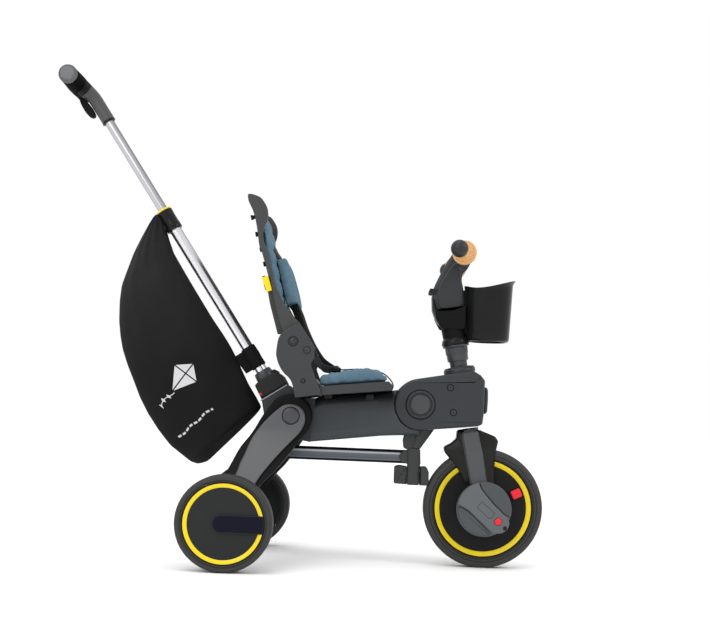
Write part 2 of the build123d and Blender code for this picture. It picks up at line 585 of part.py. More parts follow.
CUP_X = -3.0
CUP_FLOOR = 456.0
with BuildPart() as cup:
    with BuildSketch(Plane(origin=(FRONT_AXLE_X + CUP_X, 0, 0), x_dir=(1, 0, 0), z_dir=(0, -1, 0))):
        Polygon((0, CUP_FLOOR), (38, CUP_FLOOR), (44, CUP_FLOOR + 6), (51, CUP_FLOOR + 128),
                (48, CUP_FLOOR + 128), (41, CUP_FLOOR + 9), (37, CUP_FLOOR + 3), (0, CUP_FLOOR + 3),
                align=None)
    revolve(axis=Axis((FRONT_AXLE_X + CUP_X, 0, 0), (0, 0, 1)))
    with BuildSketch(front_side()):
        with BuildLine():
            Spline((-70, 562), (-28, 560), (15, 571), (60, 581))
            Polyline((60, 581), (60, 620), (-70, 620), (-70, 562))
        make_face()
    extrude(amount=REACH, both=True, mode=Mode.SUBTRACT)
    slab(front_side(), [(-52.4, 470), (-46.5, 470), (-46, 535), (-52.4, 535)], 12, both=True)
save(cup, "cup_holder")

# ------------------------------------------------------------------ front wheel and cranks
FRONT_AXLE = (FRONT_AXLE_X, 0, FRONT_Z)
FRONT_RIM_R = FRONT_R - FRONT_TYRE_DEPTH
FRONT_WEB = 12.0
build_tyre("front_tyre", FRONT_AXLE, FRONT_R, FRONT_TYRE_DEPTH, FRONT_TYRE_WIDTH)
with BuildPart() as wheel:
    ring_of(FRONT_AXLE, (-FRONT_WEB, FRONT_WEB), (CRANK_AXLE_R, FRONT_RIM_R))
    ring_of(FRONT_AXLE, (-BLADE_INNER + 1, BLADE_INNER - 1), (CRANK_AXLE_R, HUB_R))
save(wheel, "front_wheel")
with BuildPart() as rings:
    for name, s in SIDES:
        ring_of(FRONT_AXLE, (s * FRONT_WEB, s * (FRONT_WEB + RING_DEPTH)), FRONT_RING_R)
save(rings, "front_trim_rings")

CRANK_R = 54.0
CRANK_INNER = BLADE_OUTER + 1.0
CRANK_BASE = CRANK_INNER + 5.5           # face that the folded pedal lies over
CRANK_TOP = CRANK_BASE + 10.0
ARM_HALF = 12.0
ARM_ANGLE = -39.0                        # right crank arm, degrees above forward
PEDAL_KNUCKLE_R = 4.8
PEDAL_HINGE_N = ARM_HALF + SIDE_GAP + PEDAL_KNUCKLE_R
PEDAL_HINGE_Y = CRANK_BASE + SIDE_GAP + PEDAL_KNUCKLE_R
RELEASE_R = 4.4
RELEASE_AT = 35.0
with BuildPart() as axle_bar:
    bar(front_side(), (0, FRONT_Z), CRANK_AXLE_R, CRANK_TOP - 3, both=True)
save(axle_bar, "crank_axle")


def crank_side(s, y):
    """Side-view plane at the wheel's centre; local x runs along the crank arm of side s."""
    angle = radians(ARM_ANGLE + (180 if s > 0 else 0))
    return Plane(origin=(FRONT_AXLE_X, y, FRONT_Z), x_dir=(cos(angle), 0, sin(angle)), z_dir=(0, -1, 0))


with BuildPart() as cranks:
    for name, s in SIDES:
        bar(crank_side(s, s * CRANK_INNER), (0, 0), CRANK_R, -s * (CRANK_BASE - CRANK_INNER))
        with BuildSketch(crank_side(s, s * CRANK_BASE)) as raised:
            Circle(CRANK_R)
            Polygon((-100, -ARM_HALF), (100, -ARM_HALF), (100, 100), (-100, 100), align=None,
                    mode=Mode.INTERSECT)
        extrude(raised.sketch, amount=-s * (CRANK_TOP - CRANK_BASE))
        bar(crank_side(s, s * (CRANK_TOP - 7)), (RELEASE_AT, 0), RELEASE_R + SIDE_GAP, -s * 9,
            mode=Mode.SUBTRACT)
        bar(crank_side(s, 0), (0, 0), CRANK_AXLE_R, -s * (CRANK_TOP - 3), mode=Mode.SUBTRACT)
save(cranks, "crank_discs")

for name, s in SIDES:
    with BuildPart() as pedal:
        with BuildSketch(crank_side(s, s * (PEDAL_HINGE_Y - PEDAL_KNUCKLE_R))) as plate:
            Circle(CRANK_R - 1)
            Polygon((-100, -PEDAL_HINGE_N), (100, -PEDAL_HINGE_N), (100, -100), (-100, -100), align=None,
                    mode=Mode.INTERSECT)
        extrude(plate.sketch, amount=-s * 2 * PEDAL_KNUCKLE_R)
        arm_plane = crank_side(s, s * PEDAL_HINGE_Y)
        knuckle = Plane(origin=arm_plane.from_local_coords(Vector(-46, -PEDAL_HINGE_N, 0)),
                        x_dir=(0, 1, 0), z_dir=arm_plane.x_dir)
        bar(knuckle, (0, 0), PEDAL_KNUCKLE_R, 92)
    save(pedal, f"pedal_{name}")
    with BuildPart() as release:
        bar(crank_side(s, s * (CRANK_TOP - 4.6)), (RELEASE_AT, 0), RELEASE_R, -s * 5.2)
    save(release, f"pedal_button_{name}")

TAB_ANGLE = 24.4
TAB_R = (59.0, 79.0)
TAB_HALF = 8.0
with BuildPart() as tab:
    angle = radians(TAB_ANGLE)
    with BuildSketch(Plane(origin=(FRONT_AXLE_X, -FRONT_WEB - SEAT_GAP, FRONT_Z),
                           x_dir=(cos(angle), 0, sin(angle)), z_dir=(0, -1, 0))):
        with Locations(((TAB_R[0] + TAB_R[1]) / 2, 0)):
            RectangleRounded(TAB_R[1] - TAB_R[0], 2 * TAB_HALF, 2)
    extrude(amount=5)
save(tab, "clutch_tab")

# ------------------------------------------------------------------ push bar
BASE_HALF = 28.0
TUBE_START = 8.0
OUTER_TUBE_END = 400.0
COLLAR_LENGTH = 46.0
COLLAR_R = 15.5
INNER_TUBE_START = 230.0
INNER_TUBE_WALL = 1.5
with BuildPart() as base:
    slab(mast_side(), [(-29, SIDE_GAP), (31.5, SIDE_GAP), (32.5, 19), (29, 28.5), (19, 36.6), (-13, 36.6),
                       (-25, 35)], BASE_HALF, both=True)
    bar(mast(TUBE_START), (0, 0), OUTER_TUBE_R, REACH, mode=Mode.SUBTRACT)
save(base, "mast_base")

with BuildPart() as tube:
    bar(mast(TUBE_START), (0, 0), OUTER_TUBE_R, OUTER_TUBE_END - TUBE_START)
    bar(mast(TUBE_START), (0, 0), INNER_TUBE_R + RUNNING_FIT, OUTER_TUBE_END - TUBE_START,
        mode=Mode.SUBTRACT)
save(tube, "mast_outer_tube")

with BuildPart() as collar:
    bar(mast(MAST_COLLAR_Z), (0, 0), COLLAR_R, COLLAR_LENGTH)
    fillet(edges(), 2)
    bar(mast(MAST_COLLAR_Z - 1), (0, 0), OUTER_TUBE_R, OUTER_TUBE_END - MAST_COLLAR_Z + 1,
        mode=Mode.SUBTRACT)
    bar(mast(MAST_COLLAR_Z), (0, 0), INNER_TUBE_R + RUNNING_FIT, REACH, mode=Mode.SUBTRACT)
save(collar, "mast_collar")

GRIP_DEPTH = 45.0                # how far the inner tube goes into the push grip
with BuildPart() as tube:
    bar(mast(INNER_TUBE_START), (0, 0), INNER_TUBE_R, GRIP_START + GRIP_DEPTH - INNER_TUBE_START)
    bar(mast(INNER_TUBE_START), (0, 0), INNER_TUBE_R - INNER_TUBE_WALL, REACH + 100, mode=Mode.SUBTRACT)
save(tube, "mast_inner_tube")

HANDLE = (-15.0, 743.0)          # crossbar of the push grip, on the push bar's side view
HANDLE_R = 19.0
HANDLE_HALF = 72.0
SLEEVE_R = 13.5
TRIGGER_HINGE = (-25.0, 702.0)
TRIGGER_PIN_R = 2.0
TRIGGER_HALF = 8.0
with BuildPart() as handle:
    bar(mast_side(), HANDLE, HANDLE_R, HANDLE_HALF, both=True)
    fillet(edges().filter_by(GeomType.CIRCLE), 8)
    link(mast_side(), (0, 688), SLEEVE_R - 0.7, HANDLE, HANDLE_R - 2, SLEEVE_R - 1.5, both=True)
    bar(mast(GRIP_START), (0, 0), SLEEVE_R, 50)
    for name, s in SIDES:
        link(mast_side(s * (TRIGGER_HALF + 0.5)), TRIGGER_HINGE, 4, (-10, 702), 6, -s * 3)
    bar(mast_side(), TRIGGER_HINGE, TRIGGER_PIN_R, TRIGGER_HALF + 3, both=True)
    bar(mast(GRIP_START), (0, 0), INNER_TUBE_R, GRIP_DEPTH, mode=Mode.SUBTRACT)
save(handle, "push_grip")

with BuildPart() as trigger:
    slab(mast_side(), [(-18.5, 668), (-27, 671), (-31, 684), (-30, 698), (-25, 706), (-21, 698),
                       (-19.5, 684)], TRIGGER_HALF, both=True)
    bar(mast_side(), TRIGGER_HINGE, TRIGGER_PIN_R + RUNNING_FIT, REACH, both=True, mode=Mode.SUBTRACT)
save(trigger, "trigger")

with BuildPart() as bag:
    with BuildSketch(rear_side()):
        with BuildLine():
            Spline((-182, 672), (-237, 566), (-245, 486), (-208, 339), (-144, 238), (-79, 189))
            Polyline((-79, 189), (-60, 196), (31, 303), (31, 318), (18, 352), (2.2, 408.6), (-100, 532),
                     (-156, 622), (-182, 672))
        make_face()
    extrude(amount=REACH, both=True)
    with BuildSketch(mast(-REACH)):
        Polygon((-OUTER_TUBE_R, 4), (-60, 42), (-110, 55), (-190, 42), (-250, 8), (-250, -8), (-190, -42),
                (-110, -55), (-60, -42), (-OUTER_TUBE_R, -4), align=None)
    extrude(amount=3 * REACH, mode=Mode.INTERSECT)
save(bag, "storage_bag")

# ------------------------------------------------------------------ backrest
BACK_HALF = ARM_OUTER - WING
with BuildPart() as shell:
    for name, s in SIDES:
        with BuildSketch(rear_side(s * (BACK_HALF - 0.1))) as side_wing:
            with BuildLine():
                Spline((12, 711), (31, 645), (37, 604), (57, 550), (87, 440))
                Line((87, 440), (122, 448))
                Spline((122, 448), (91, 499), (63, 555), (50, 610), (42, 641))
                Spline((42, 641), (50, 668), (34, 706), (12, 711))
            make_face()
        extrude(side_wing.sketch, amount=-s * (WING + 0.1))
        bar(rear_side(s * BACK_HALF), RECLINE_PIVOT, 20, -s * WING)
    slab(rear_side(), [(10, 706), (31, 645), (34, 612), (43, 536), (62, 464), (67.5, 464), (48.5, 536),
                       (40, 612), (36, 646), (16, 708)], BACK_HALF, both=True)
    bar(rear_side(), RECLINE_PIVOT, PIVOT_BOLT_R + RUNNING_FIT, REACH, both=True, mode=Mode.SUBTRACT)
save(shell, "backrest_shell")

with BuildPart() as cushion:
    slab(rear_side(), [(19.5, 702), (38, 646), (42, 612), (50.5, 536), (60.5, 500), (84, 504), (60, 605),
                       (52, 637), (38, 700), (28, 706)], BACK_HALF - 1, both=True)
save(cushion, "backrest_cushion")

with BuildPart() as pads:
    for name, s in SIDES:
        slab(rear_side(s * 28), [(62.3, 597), (84, 602), (111, 512), (86.5, 506.5)], -s * 44)
save(pads, "shoulder_pads")

LEVER_HALF = BACK_HALF + 7.0
with BuildPart() as lever:
    slab(rear_side(), [(28, 572), (37.6, 573), (42.2, 538), (33, 537)], LEVER_HALF, both=True)
    for name, s in SIDES:
        slab(rear_side(s * (BACK_HALF + 0.8)), [(28, 572), (43, 573), (49, 541), (33, 537)],
             -s * (LEVER_HALF - BACK_HALF - 0.8))
save(lever, "recline_lever")
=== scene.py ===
"""Looks of the folding children's tricycle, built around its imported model.

Metres, in the model's own frame: X forward, Y to the rider's left, Z up, ground at Z = 0.
Side-view places are given in millimetres from the rear or the front axle.
"""
import json
import math

import bmesh
import bpy
from mathutils import Matrix, Vector


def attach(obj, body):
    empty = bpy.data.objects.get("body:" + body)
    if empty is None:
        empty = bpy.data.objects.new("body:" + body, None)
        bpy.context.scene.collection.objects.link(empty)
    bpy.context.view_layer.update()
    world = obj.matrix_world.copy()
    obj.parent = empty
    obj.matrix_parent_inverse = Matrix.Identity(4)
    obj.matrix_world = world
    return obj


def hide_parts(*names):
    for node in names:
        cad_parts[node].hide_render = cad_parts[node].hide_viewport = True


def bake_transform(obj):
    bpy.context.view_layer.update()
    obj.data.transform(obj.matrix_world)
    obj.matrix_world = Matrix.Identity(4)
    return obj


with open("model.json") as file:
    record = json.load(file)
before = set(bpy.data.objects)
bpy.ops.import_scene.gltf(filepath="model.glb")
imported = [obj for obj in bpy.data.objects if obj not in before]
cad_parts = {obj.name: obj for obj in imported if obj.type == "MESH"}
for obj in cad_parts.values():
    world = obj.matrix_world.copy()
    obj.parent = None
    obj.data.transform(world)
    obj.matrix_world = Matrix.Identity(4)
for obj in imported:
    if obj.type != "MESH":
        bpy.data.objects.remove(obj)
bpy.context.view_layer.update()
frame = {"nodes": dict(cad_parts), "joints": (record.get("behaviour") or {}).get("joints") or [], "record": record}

MM = 0.001
JOINTS = {joint["name"]: joint for joint in frame["joints"]}
NODES = frame["nodes"]
REAR_AXLE = Vector(JOINTS["rear_wheel_left_spin"]["pos_m"]).x
FRONT_AXLE = Vector(JOINTS["front_wheel_spin"]["pos_m"]).x
WHEELBASE = (FRONT_AXLE - REAR_AXLE) / MM
SIDES = (("left", 1), ("right", -1))


def rear(x, z, y=0.0):
    """Place given in millimetres, x from the rear axle."""
    return Vector((REAR_AXLE + x * MM, y * MM, z * MM))


def front(x, z, y=0.0):
    """Place given in millimetres, x from the front axle."""
    return Vector((FRONT_AXLE + x * MM, y * MM, z * MM))


# ---------------------------------------------------------------- camera
CAMERA_DISTANCE = 2.24
CAMERA_HEIGHT = 0.307
CAMERA_X = REAR_AXLE + 0.2588
ROLL = math.radians(2.33)
LENS = 56.08
SHIFT = (-0.020704, 0.137606)        # of the lens, as shares of the frame's width

camera_data = bpy.data.cameras.new("camera")
camera_data.lens = LENS
camera_data.sensor_width = 36.0
camera_data.shift_x, camera_data.shift_y = SHIFT
camera = bpy.data.objects.new("camera", camera_data)
bpy.context.scene.collection.objects.link(camera)
camera.matrix_world = Matrix((
    (math.cos(ROLL), -math.sin(ROLL), 0, CAMERA_X),
    (0, 0, -1, -CAMERA_DISTANCE),
    (math.sin(ROLL), math.cos(ROLL), 0, CAMERA_HEIGHT),
    (0, 0, 0, 1)))
bpy.context.scene.camera = camera


# ---------------------------------------------------------------- finishes
class Signal:
    """A node socket in arithmetic: each expression adds its Math nodes."""

    def __init__(self, nodes, socket):
        self.nodes, self.socket = nodes, socket

    def math(self, operation, *values):
        return self.nodes.add("ShaderNodeMath", {"operation": operation}, self, *values)

    def __add__(self, other):
        return self.math("ADD", other)

    __radd__ = __add__

    def __sub__(self, other):
        return self.math("SUBTRACT", other)

    def __rsub__(self, other):
        return self.nodes.add("ShaderNodeMath", {"operation": "SUBTRACT"}, other, self)

    def __mul__(self, other):
        return self.math("MULTIPLY", other)

    __rmul__ = __mul__

    def __truediv__(self, other):
        return self.math("DIVIDE", other)

    def __gt__(self, other):
        return self.math("GREATER_THAN", other)

    def __lt__(self, other):
        return self.math("LESS_THAN", other)

    def __abs__(self):
        return self.math("ABSOLUTE")

    def __mod__(self, other):
        return self.math("FLOORED_MODULO", other)

    def sin(self):
        return self.math("SINE")

    def root(self):
        return self.math("SQRT")

    def ramp(self, low, high):
        """0 at low, 1 at high, smooth between."""
        smooth = {"interpolation_type": "SMOOTHSTEP"}
        return self.nodes.add("ShaderNodeMapRange", smooth, self, low, high, 0.0, 1.0)


class Nodes:
    """A node tree, with one method that adds any node."""

    def __init__(self, tree):
        self.tree = tree

    def plug(self, socket, value):
        if isinstance(value, Signal):
            self.tree.links.new(value.socket, socket)
        elif isinstance(value, (tuple, list)) and len(value) == 3 and socket.type == "RGBA":
            socket.default_value = (*value, 1.0)
        else:
            socket.default_value = value

    def add(self, kind, settings, *values, out=0, **named):
        """A node of any kind: its settings, its first sockets in order, and others by name."""
        node = self.tree.nodes.new(kind)
        for key, value in settings.items():
            if key == "stops":
                for stop in node.color_ramp.elements[1:]:
                    node.color_ramp.elements.remove(stop)
                for index, (at, colour) in enumerate(value):
                    stop = node.color_ramp.elements[0] if index == 0 else node.color_ramp.elements.new(at)
                    stop.position, stop.color = at, (*colour, 1.0)
            else:
                setattr(node, key, value)
        usable = [socket for socket in node.inputs if socket.enabled]
        for socket, value in zip(usable, values):
            if value is not None:
                self.plug(socket, value)
        for key, value in named.items():
            socket = next(s for s in usable if s.name.lower().replace(" ", "_") == key)
            self.plug(socket, value)
        if isinstance(out, str):
            return Signal(self, node.outputs[out])
        return Signal(self, [socket for socket in node.outputs if socket.enabled][out])


class Finish(Nodes):
    """A procedural material."""

    def __init__(self, name):
        self.material = bpy.data.materials.new(name)
        self.material.use_nodes = True
        super().__init__(self.material.node_tree)
        self.shader = self.tree.nodes["Principled BSDF"]
        self.place = self.add("ShaderNodeTexCoord", {}, out="Object")
        split = self.add("ShaderNodeSeparateXYZ", {}, self.place).socket.node
        self.x, self.y, self.z = (Signal(self, socket) for socket in split.outputs)

    def noise(self, scale, detail, roughness=0.5, place=None):
        return self.add("ShaderNodeTexNoise", {}, out="Fac", vector=place or self.place,
                        scale=scale, detail=detail, roughness=roughness)

    def mix(self, mask, low, high):
        """Colour low where mask is 0, high where it is 1."""
        return self.add("ShaderNodeMix", {"data_type": "RGBA"}, mask, low, high)

    def stretch(self, x, y, z):
        """Object place scaled unevenly, for grain that runs one way."""
        return self.add("ShaderNodeVectorMath", {"operation": "MULTIPLY"}, self.place, (x, y, z))

    def reach(self, centre):
        """Distance from a line that runs across through centre."""
        ahead, up = self.x - centre.x, self.z - centre.z
        return (ahead * ahead + up * up).root()

    def surface(self, colour, roughness, metallic=0.0, gleam=0.5, bump=None):
        """Fills the shader: gleam is its specular level, bump is (height, distance in metres, strength)."""
        for name, value in (("Base Color", colour), ("Roughness", roughness), ("Metallic", metallic),
                            ("Specular IOR Level", gleam)):
            self.plug(self.shader.inputs[name], value)
        if bump:
            height, distance, strength = bump
            normal = self.add("ShaderNodeBump", {}, strength, distance, out="Normal", height=height)
            self.plug(self.shader.inputs["Normal"], normal)
        return self.material


def toned(colour, share):
    """The colour made darker or lighter by a share, no brighter than full."""
    return tuple(min(1.0, channel * share) for channel in colour)


def moulded(name, colour, roughness, grain=0.25, tone=0.12, gleam=0.35):
    """Moulded plastic: fine spark-eroded grain, slightly uneven tone and polish."""
    f = Finish(name)
    cloud = f.noise(9.0, 2.0)
    fine = f.noise(900.0, 2.0, 0.6)
    uneven = f.mix(cloud, toned(colour, 1 - tone), toned(colour, 1 + tone))
    return f.surface(uneven, cloud * 0.12 + (roughness - 0.06) + (fine - 0.5) * 0.10,
                     bump=(fine, 0.00012, grain), gleam=gleam)


def shaded_beam():
    """The beam's plastic, with painted shade along its upper side under the seat pan: darker towards the top."""
    f = Finish("beam_plastic")
    cloud = f.noise(9.0, 2.0)
    fine = f.noise(900.0, 2.0, 0.6)
    # painted shade: the colour darkens from 0.298 m up to 0.338 m, where the seat pan shades the beam
    body = f.mix(f.z.ramp(0.298, 0.338), (0.036, 0.042, 0.048), (0.007, 0.008, 0.009))
    return f.surface(body, cloud * 0.10 + 0.34 + (fine - 0.5) * 0.10, bump=(fine, 0.00012, 0.25), gleam=0.35)


def metal(name, colour, roughness, stretch):
    """Brushed or polished metal: fine scratches, stretched along each axis."""
    f = Finish(name)
    streak = f.noise(60.0, 4.0, 0.6, f.stretch(*stretch))
    return f.surface(f.mix(streak, toned(colour, 0.92), colour), streak * 0.16 + (roughness - 0.08),
                     metallic=1.0, bump=(streak, 0.00005, 0.15))


MAST_TILT = math.radians(33.85)      # how far the push bar leans back
MAST_FOOT = rear(66.5, 335)          # lower end of the push bar's axis


def drawn_tube(name, colour, radius, painted_shade_share, rim):
    """Anodised tube of the push bar, with fine draw lines along it, and painted reflection: it is painted darker
    over the front of the tube, down to a share of its colour, and painted dark beyond the rim share of its radius."""
    f = Finish(name)
    cos, sin = math.cos(MAST_TILT), math.sin(MAST_TILT)
    out = f.x * cos + f.z * sin
    along = f.z * cos - f.x * sin
    lines = f.add("ShaderNodeCombineXYZ", {}, out * 240.0, f.y * 240.0, along * 3.0)
    streak = f.noise(1.0, 2.0, 0.5, lines)
    aside = (out - (MAST_FOOT.x * cos + MAST_FOOT.z * sin)) / (radius * MM)
    face = f.mix(streak, toned(colour, 0.94), colour)
    # painted reflection: darker over the front of the tube
    face = f.mix(aside.ramp(0.20, 0.90), face, toned(colour, painted_shade_share))
    # painted reflection: dark bands along the tube's edges
    face = f.mix(abs(aside).ramp(rim, rim + 0.18), face, toned(colour, 0.26))
    return f.surface(face, streak * 0.06 + 0.21, metallic=1.0, bump=(streak, 0.00001, 0.04))


def banded_strut():
    """Flat extruded bar, banded by height: painted highlights on its upper and lower ribs, painted shade in the
    grooves beside them.
    """
    f = Finish("strut_aluminium")
    streak = f.noise(1.0, 2.0, 0.5, f.stretch(3.0, 240.0, 240.0))
    # painted shade in the grooves and painted highlights on the ribs, as colour bands across the bar's height
    painted_groove_shade, web, rib = (0.010, 0.011, 0.012), (0.085, 0.098, 0.112), (0.34, 0.36, 0.38)
    stops = [(0.0, painted_groove_shade), (0.05, painted_groove_shade), (0.09, (0.17, 0.18, 0.20)), (0.18, web),
             (0.66, (0.110, 0.124, 0.138)), (0.75, rib), (0.87, rib), (0.92, painted_groove_shade), (1.0, painted_groove_shade)]
    height = (f.z - 0.207) / 0.020
    painted_bands = f.add("ShaderNodeValToRGB", {"stops": stops}, height)
    return f.surface(painted_bands, streak * 0.08 + 0.36, metallic=1.0, bump=(streak, 0.00001, 0.04))


RUBBER_BLACK = (0.0035, 0.0032, 0.0030)    # of the push grip

finishes = {
    # the frame's slots
    "body_plastic": moulded("charcoal_plastic", (0.0265, 0.0300, 0.0330), 0.42, gleam=0.28),
    "beam_plastic": shaded_beam(),
    "cover_plastic": moulded("cover_plastic", (0.092, 0.094, 0.098), 0.46),
    "seat_plastic": moulded("seat_plastic", (0.036, 0.0375, 0.039), 0.46, gleam=0.28),
    "black_plastic": moulded("black_plastic", (0.0065, 0.0066, 0.0070), 0.46, gleam=0.28),
    "gloss_black": moulded("semi_gloss_black", (0.0085, 0.0087, 0.0090), 0.24, 0.1, gleam=0.17),
    "yellow": moulded("yellow_plastic", (0.82, 0.63, 0.008), 0.30, 0.1, 0.04),
    "red": moulded("red_plastic", (0.80, 0.010, 0.030), 0.30, 0.1, 0.04),
    "tyre": moulded("tyre_rubber", (0.030, 0.030, 0.029), 0.62),
    "wheel_disc": moulded("wheel_disc", (0.0160, 0.0175, 0.0180), 0.60, gleam=0.20),
    # painted reflection: the last two numbers are the share of colour over the front and the rim share of the dark
    # edges
    "tube": drawn_tube("anodised_aluminium", (0.72, 0.72, 0.75), 12.0, 0.80, 0.82),
    "steel": metal("zinc_steel", (0.62, 0.63, 0.65), 0.34, (10, 10, 10)),
    "chrome": metal("chrome", (0.90, 0.90, 0.91), 0.10, (4, 4, 4)),
    "textile": moulded("blue_textile", (0.084, 0.156, 0.210), 0.85),
    "black_fabric": moulded("black_fabric", (0.006, 0.006, 0.0065), 0.85, gleam=0.15),
    "wood": moulded("wood", (0.64, 0.345, 0.135), 0.38, 0.25, 0.12, 0.5),
    "grip": moulded("grip_rubber", (0.011, 0.010, 0.010), 0.44, gleam=0.42),
    # finishes of single pieces
    "blade_grey": moulded("blade_grey", (0.050, 0.052, 0.055), 0.32, 0.2, 0.1, 0.5),
    "cap_gloss": moulded("cap_gloss", (0.085, 0.088, 0.096), 0.16, 0.05, 0.1, 0.42),
    "cap_plastic": moulded("pivot_cap", (0.055, 0.055, 0.066), 0.34, 0.15),
    "collar_grey": moulded("collar_grey", (0.042, 0.045, 0.048), 0.34, 0.2, 0.1, 0.36),
    "crank_grey": moulded("crank_grey", (0.092, 0.100, 0.108), 0.34, 0.15, 0.08, 0.45),
    "crank_low": moulded("crank_low", (0.052, 0.060, 0.066), 0.38, 0.15, 0.08, 0.4),
    "dark_steel": metal("dark_screw", (0.060, 0.060, 0.065), 0.30, (10, 10, 10)),
    "fender_dark": moulded("fender_dark", (0.0085, 0.0082, 0.0068), 0.30, 0.2, 0.1, 0.20),
    # painted shade: a darker copy of the wheel disc's plastic, for the front wheel
    "front_disc": moulded("front_disc", (0.0100, 0.0100, 0.0102), 0.55, gleam=0.13),
    "hanger_dark": moulded("hanger_dark", (0.022, 0.023, 0.024), 0.40, 0.2, 0.1, 0.4),
    # painted reflection, as on the outer tube
    "inner_tube": drawn_tube("inner_aluminium", (0.51, 0.51, 0.54), 9.5, 0.60, 0.78),
    "leg_black": moulded("leg_black", (0.0030, 0.0030, 0.0032), 0.55, gleam=0.12),
    "navy_gloss": moulded("navy_gloss", (0.0020, 0.0020, 0.0110), 0.22, 0.05, 0.1, 0.12),
    # painted highlight: the pale strip along the rear housing's top edge
    "pale_line": moulded("pale_line", (0.30, 0.30, 0.305), 0.45, 0.15),
    "push_rubber": moulded("push_rubber", RUBBER_BLACK, 0.80, gleam=0.04),
    "shell_plastic": moulded("shell_plastic", (0.043, 0.044, 0.045), 0.46, 0.25, 0.14, 0.28),
    "stem_sheen": moulded("stem_sheen", (0.022, 0.0235, 0.025), 0.34, 0.15, 0.08, 0.34),
    "strut": banded_strut(),
    "webbing": moulded("harness_webbing", (0.020, 0.020, 0.022), 0.75, 0.6),
}

slot_of = {part["node"]: part["material_slot"] for part in frame["record"]["subparts"]}
OWN_FINISH = {"mast_inner_tube": "inner_tube", "front_wheel": "front_disc", "fold_strut": "strut"}
for name, node in NODES.items():
    node.data.materials.clear()
    node.data.materials.append(finishes[OWN_FINISH.get(name, slot_of[name])])


# ---------------------------------------------------------------- shape tools
def rounded(points, radius, steps=5):
    """Closed outline with arcs at its corners. A corner may carry its own radius as a third number."""
    outline = []
    for index, corner in enumerate(points):
        here = Vector(corner[:2])
        back = Vector(points[index - 1][:2]) - here
        ahead = Vector(points[(index + 1) % len(points)][:2]) - here
        r = corner[2] if len(corner) > 2 else radius
        half = back.angle(ahead) / 2
        reach = min(r / max(math.tan(half), 1e-6), 0.48 * back.length, 0.48 * ahead.length)
        start, end = here + back.normalized() * reach, here + ahead.normalized() * reach
        for step in range(steps + 1):
            t = step / steps
            outline.append((1 - t) ** 2 * start + 2 * t * (1 - t) * here + t * t * end)
    return outline


def curved(points, per, closed=True):
    """Smooth line through the points."""
    points = [Vector(p) for p in points]
    count = len(points)
    line = []
    for i in range(count if closed else count - 1):
        if closed:
            a, b, c, d = (points[(i + k) % count] for k in (-1, 0, 1, 2))
        else:
            a, b, c, d = (points[min(max(i + k, 0), count - 1)] for k in (-1, 0, 1, 2))
        for step in range(per):
            t = step / per
            line.append(0.5 * ((2 * b) + (c - a) * t + (2 * a - 5 * b + 4 * c - d) * t * t
                               + (3 * b - a - 3 * c + d) * t ** 3))
    if not closed:
        line.append(points[-1])
    return line


def arc(centre, radius, start, end, steps=24):
    """Points on an arc between two angles in degrees, both ends included."""
    return [Vector((centre[0] + radius * math.cos(a), centre[1] + radius * math.sin(a)))
            for a in (math.radians(start + (end - start) * k / steps) for k in range(steps + 1))]


def between(corners, radius, steps=4):
    """Rounded corners between two plain ends, which are left out."""
    return rounded(corners, radius, steps)[steps + 1:-steps - 1]


def joined(first, corners):
    """Closed outline: a run of points, then rounded corners back to its start."""
    return first + between([first[-1], *corners, first[0]], 6.0, 5)


def mirrored(place, s):
    """The place function with its across coordinate turned to a side."""
    return lambda u, v, w: place(u, v, s * w)


def tilted(place, centre, angle):
    """The place function for a shape drawn about its own centre and turned by an angle."""
    cos, sin = math.cos(angle), math.sin(angle)
    return lambda u, v, w: place(centre[0] + u * cos - v * sin, centre[1] + u * sin + v * cos, w)


def inset(outline, depth):
    """Outline moved inwards; depth is one number or one per point."""
    count = len(outline)
    area = sum(outline[i - 1].x * outline[i].y - outline[i].x * outline[i - 1].y for i in range(count))
    turn = 1 if area > 0 else -1
    moved = []
    for i in range(count):
        a = outline[i] - outline[i - 1]
        b = outline[(i + 1) % count] - outline[i]
        a = a.normalized() if a.length > 1e-6 else b.normalized()
        b = b.normalized() if b.length > 1e-6 else a
        normal = Vector((-(a.y + b.y), a.x + b.x)) * turn
        normal.normalize()
        stretch = 1 / max(0.6, math.sqrt(max(0.0, (1 + a.dot(b)) / 2)))
        d = depth[i] if isinstance(depth, list) else depth
        moved.append(outline[i] + normal * (d * stretch))
    return moved


def finished(name, mesh, finish, body, crease=38.0, replaces=()):
    """Turns a bmesh or mesh into a named piece that rides on a body, or on none."""
    if isinstance(mesh, bmesh.types.BMesh):
        bmesh.ops.recalc_face_normals(mesh, faces=mesh.faces)
        data = bpy.data.meshes.new(name)
        mesh.to_mesh(data)
        mesh.free()
    else:
        data = mesh
    data.shade_smooth()
    data.set_sharp_from_angle(angle=math.radians(crease))
    data.materials.clear()
    data.materials.append(finishes[finish])
    piece = bpy.data.objects.new(name, data)
    bpy.context.scene.collection.objects.link(piece)
    if body:
        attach(piece, body)
    if replaces:
        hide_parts(*replaces)
    return piece


def remade(node, mesh, finish, body, crease=38.0):
    """A piece that stands in for a CAD node of the same place, which it hides."""
    return finished(f"{node}_made", mesh, finish, body, crease, replaces=[node])


def gathered(parts):
    """One bmesh out of several, each with its faces turned outwards."""
    whole = bmesh.new()
    for part in parts:
        bmesh.ops.recalc_face_normals(part, faces=part.faces)
        data = bpy.data.meshes.new("part")
        part.to_mesh(data)
        part.free()
        whole.from_mesh(data)
        bpy.data.meshes.remove(data)
    return whole


def ring_faces(mesh, rings, closed=True, caps=True):
    """Skin between rings of vertices."""
    for low, high in zip(rings, rings[1:]):
        count = len(low)
        for i in range(count if closed else count - 1):
            j = (i + 1) % count
            mesh.faces.new((low[i], low[j], high[j], high[i]))
    if caps:
        mesh.faces.new(rings[0][::-1])
        mesh.faces.new(rings[-1])


def lofted(rings, closed=True, caps=True, mesh=None):
    """Skin over rings of points in metres."""
    mesh = mesh or bmesh.new()
    ring_faces(mesh, [[mesh.verts.new(p) for p in ring] for ring in rings], closed, caps)
    return mesh


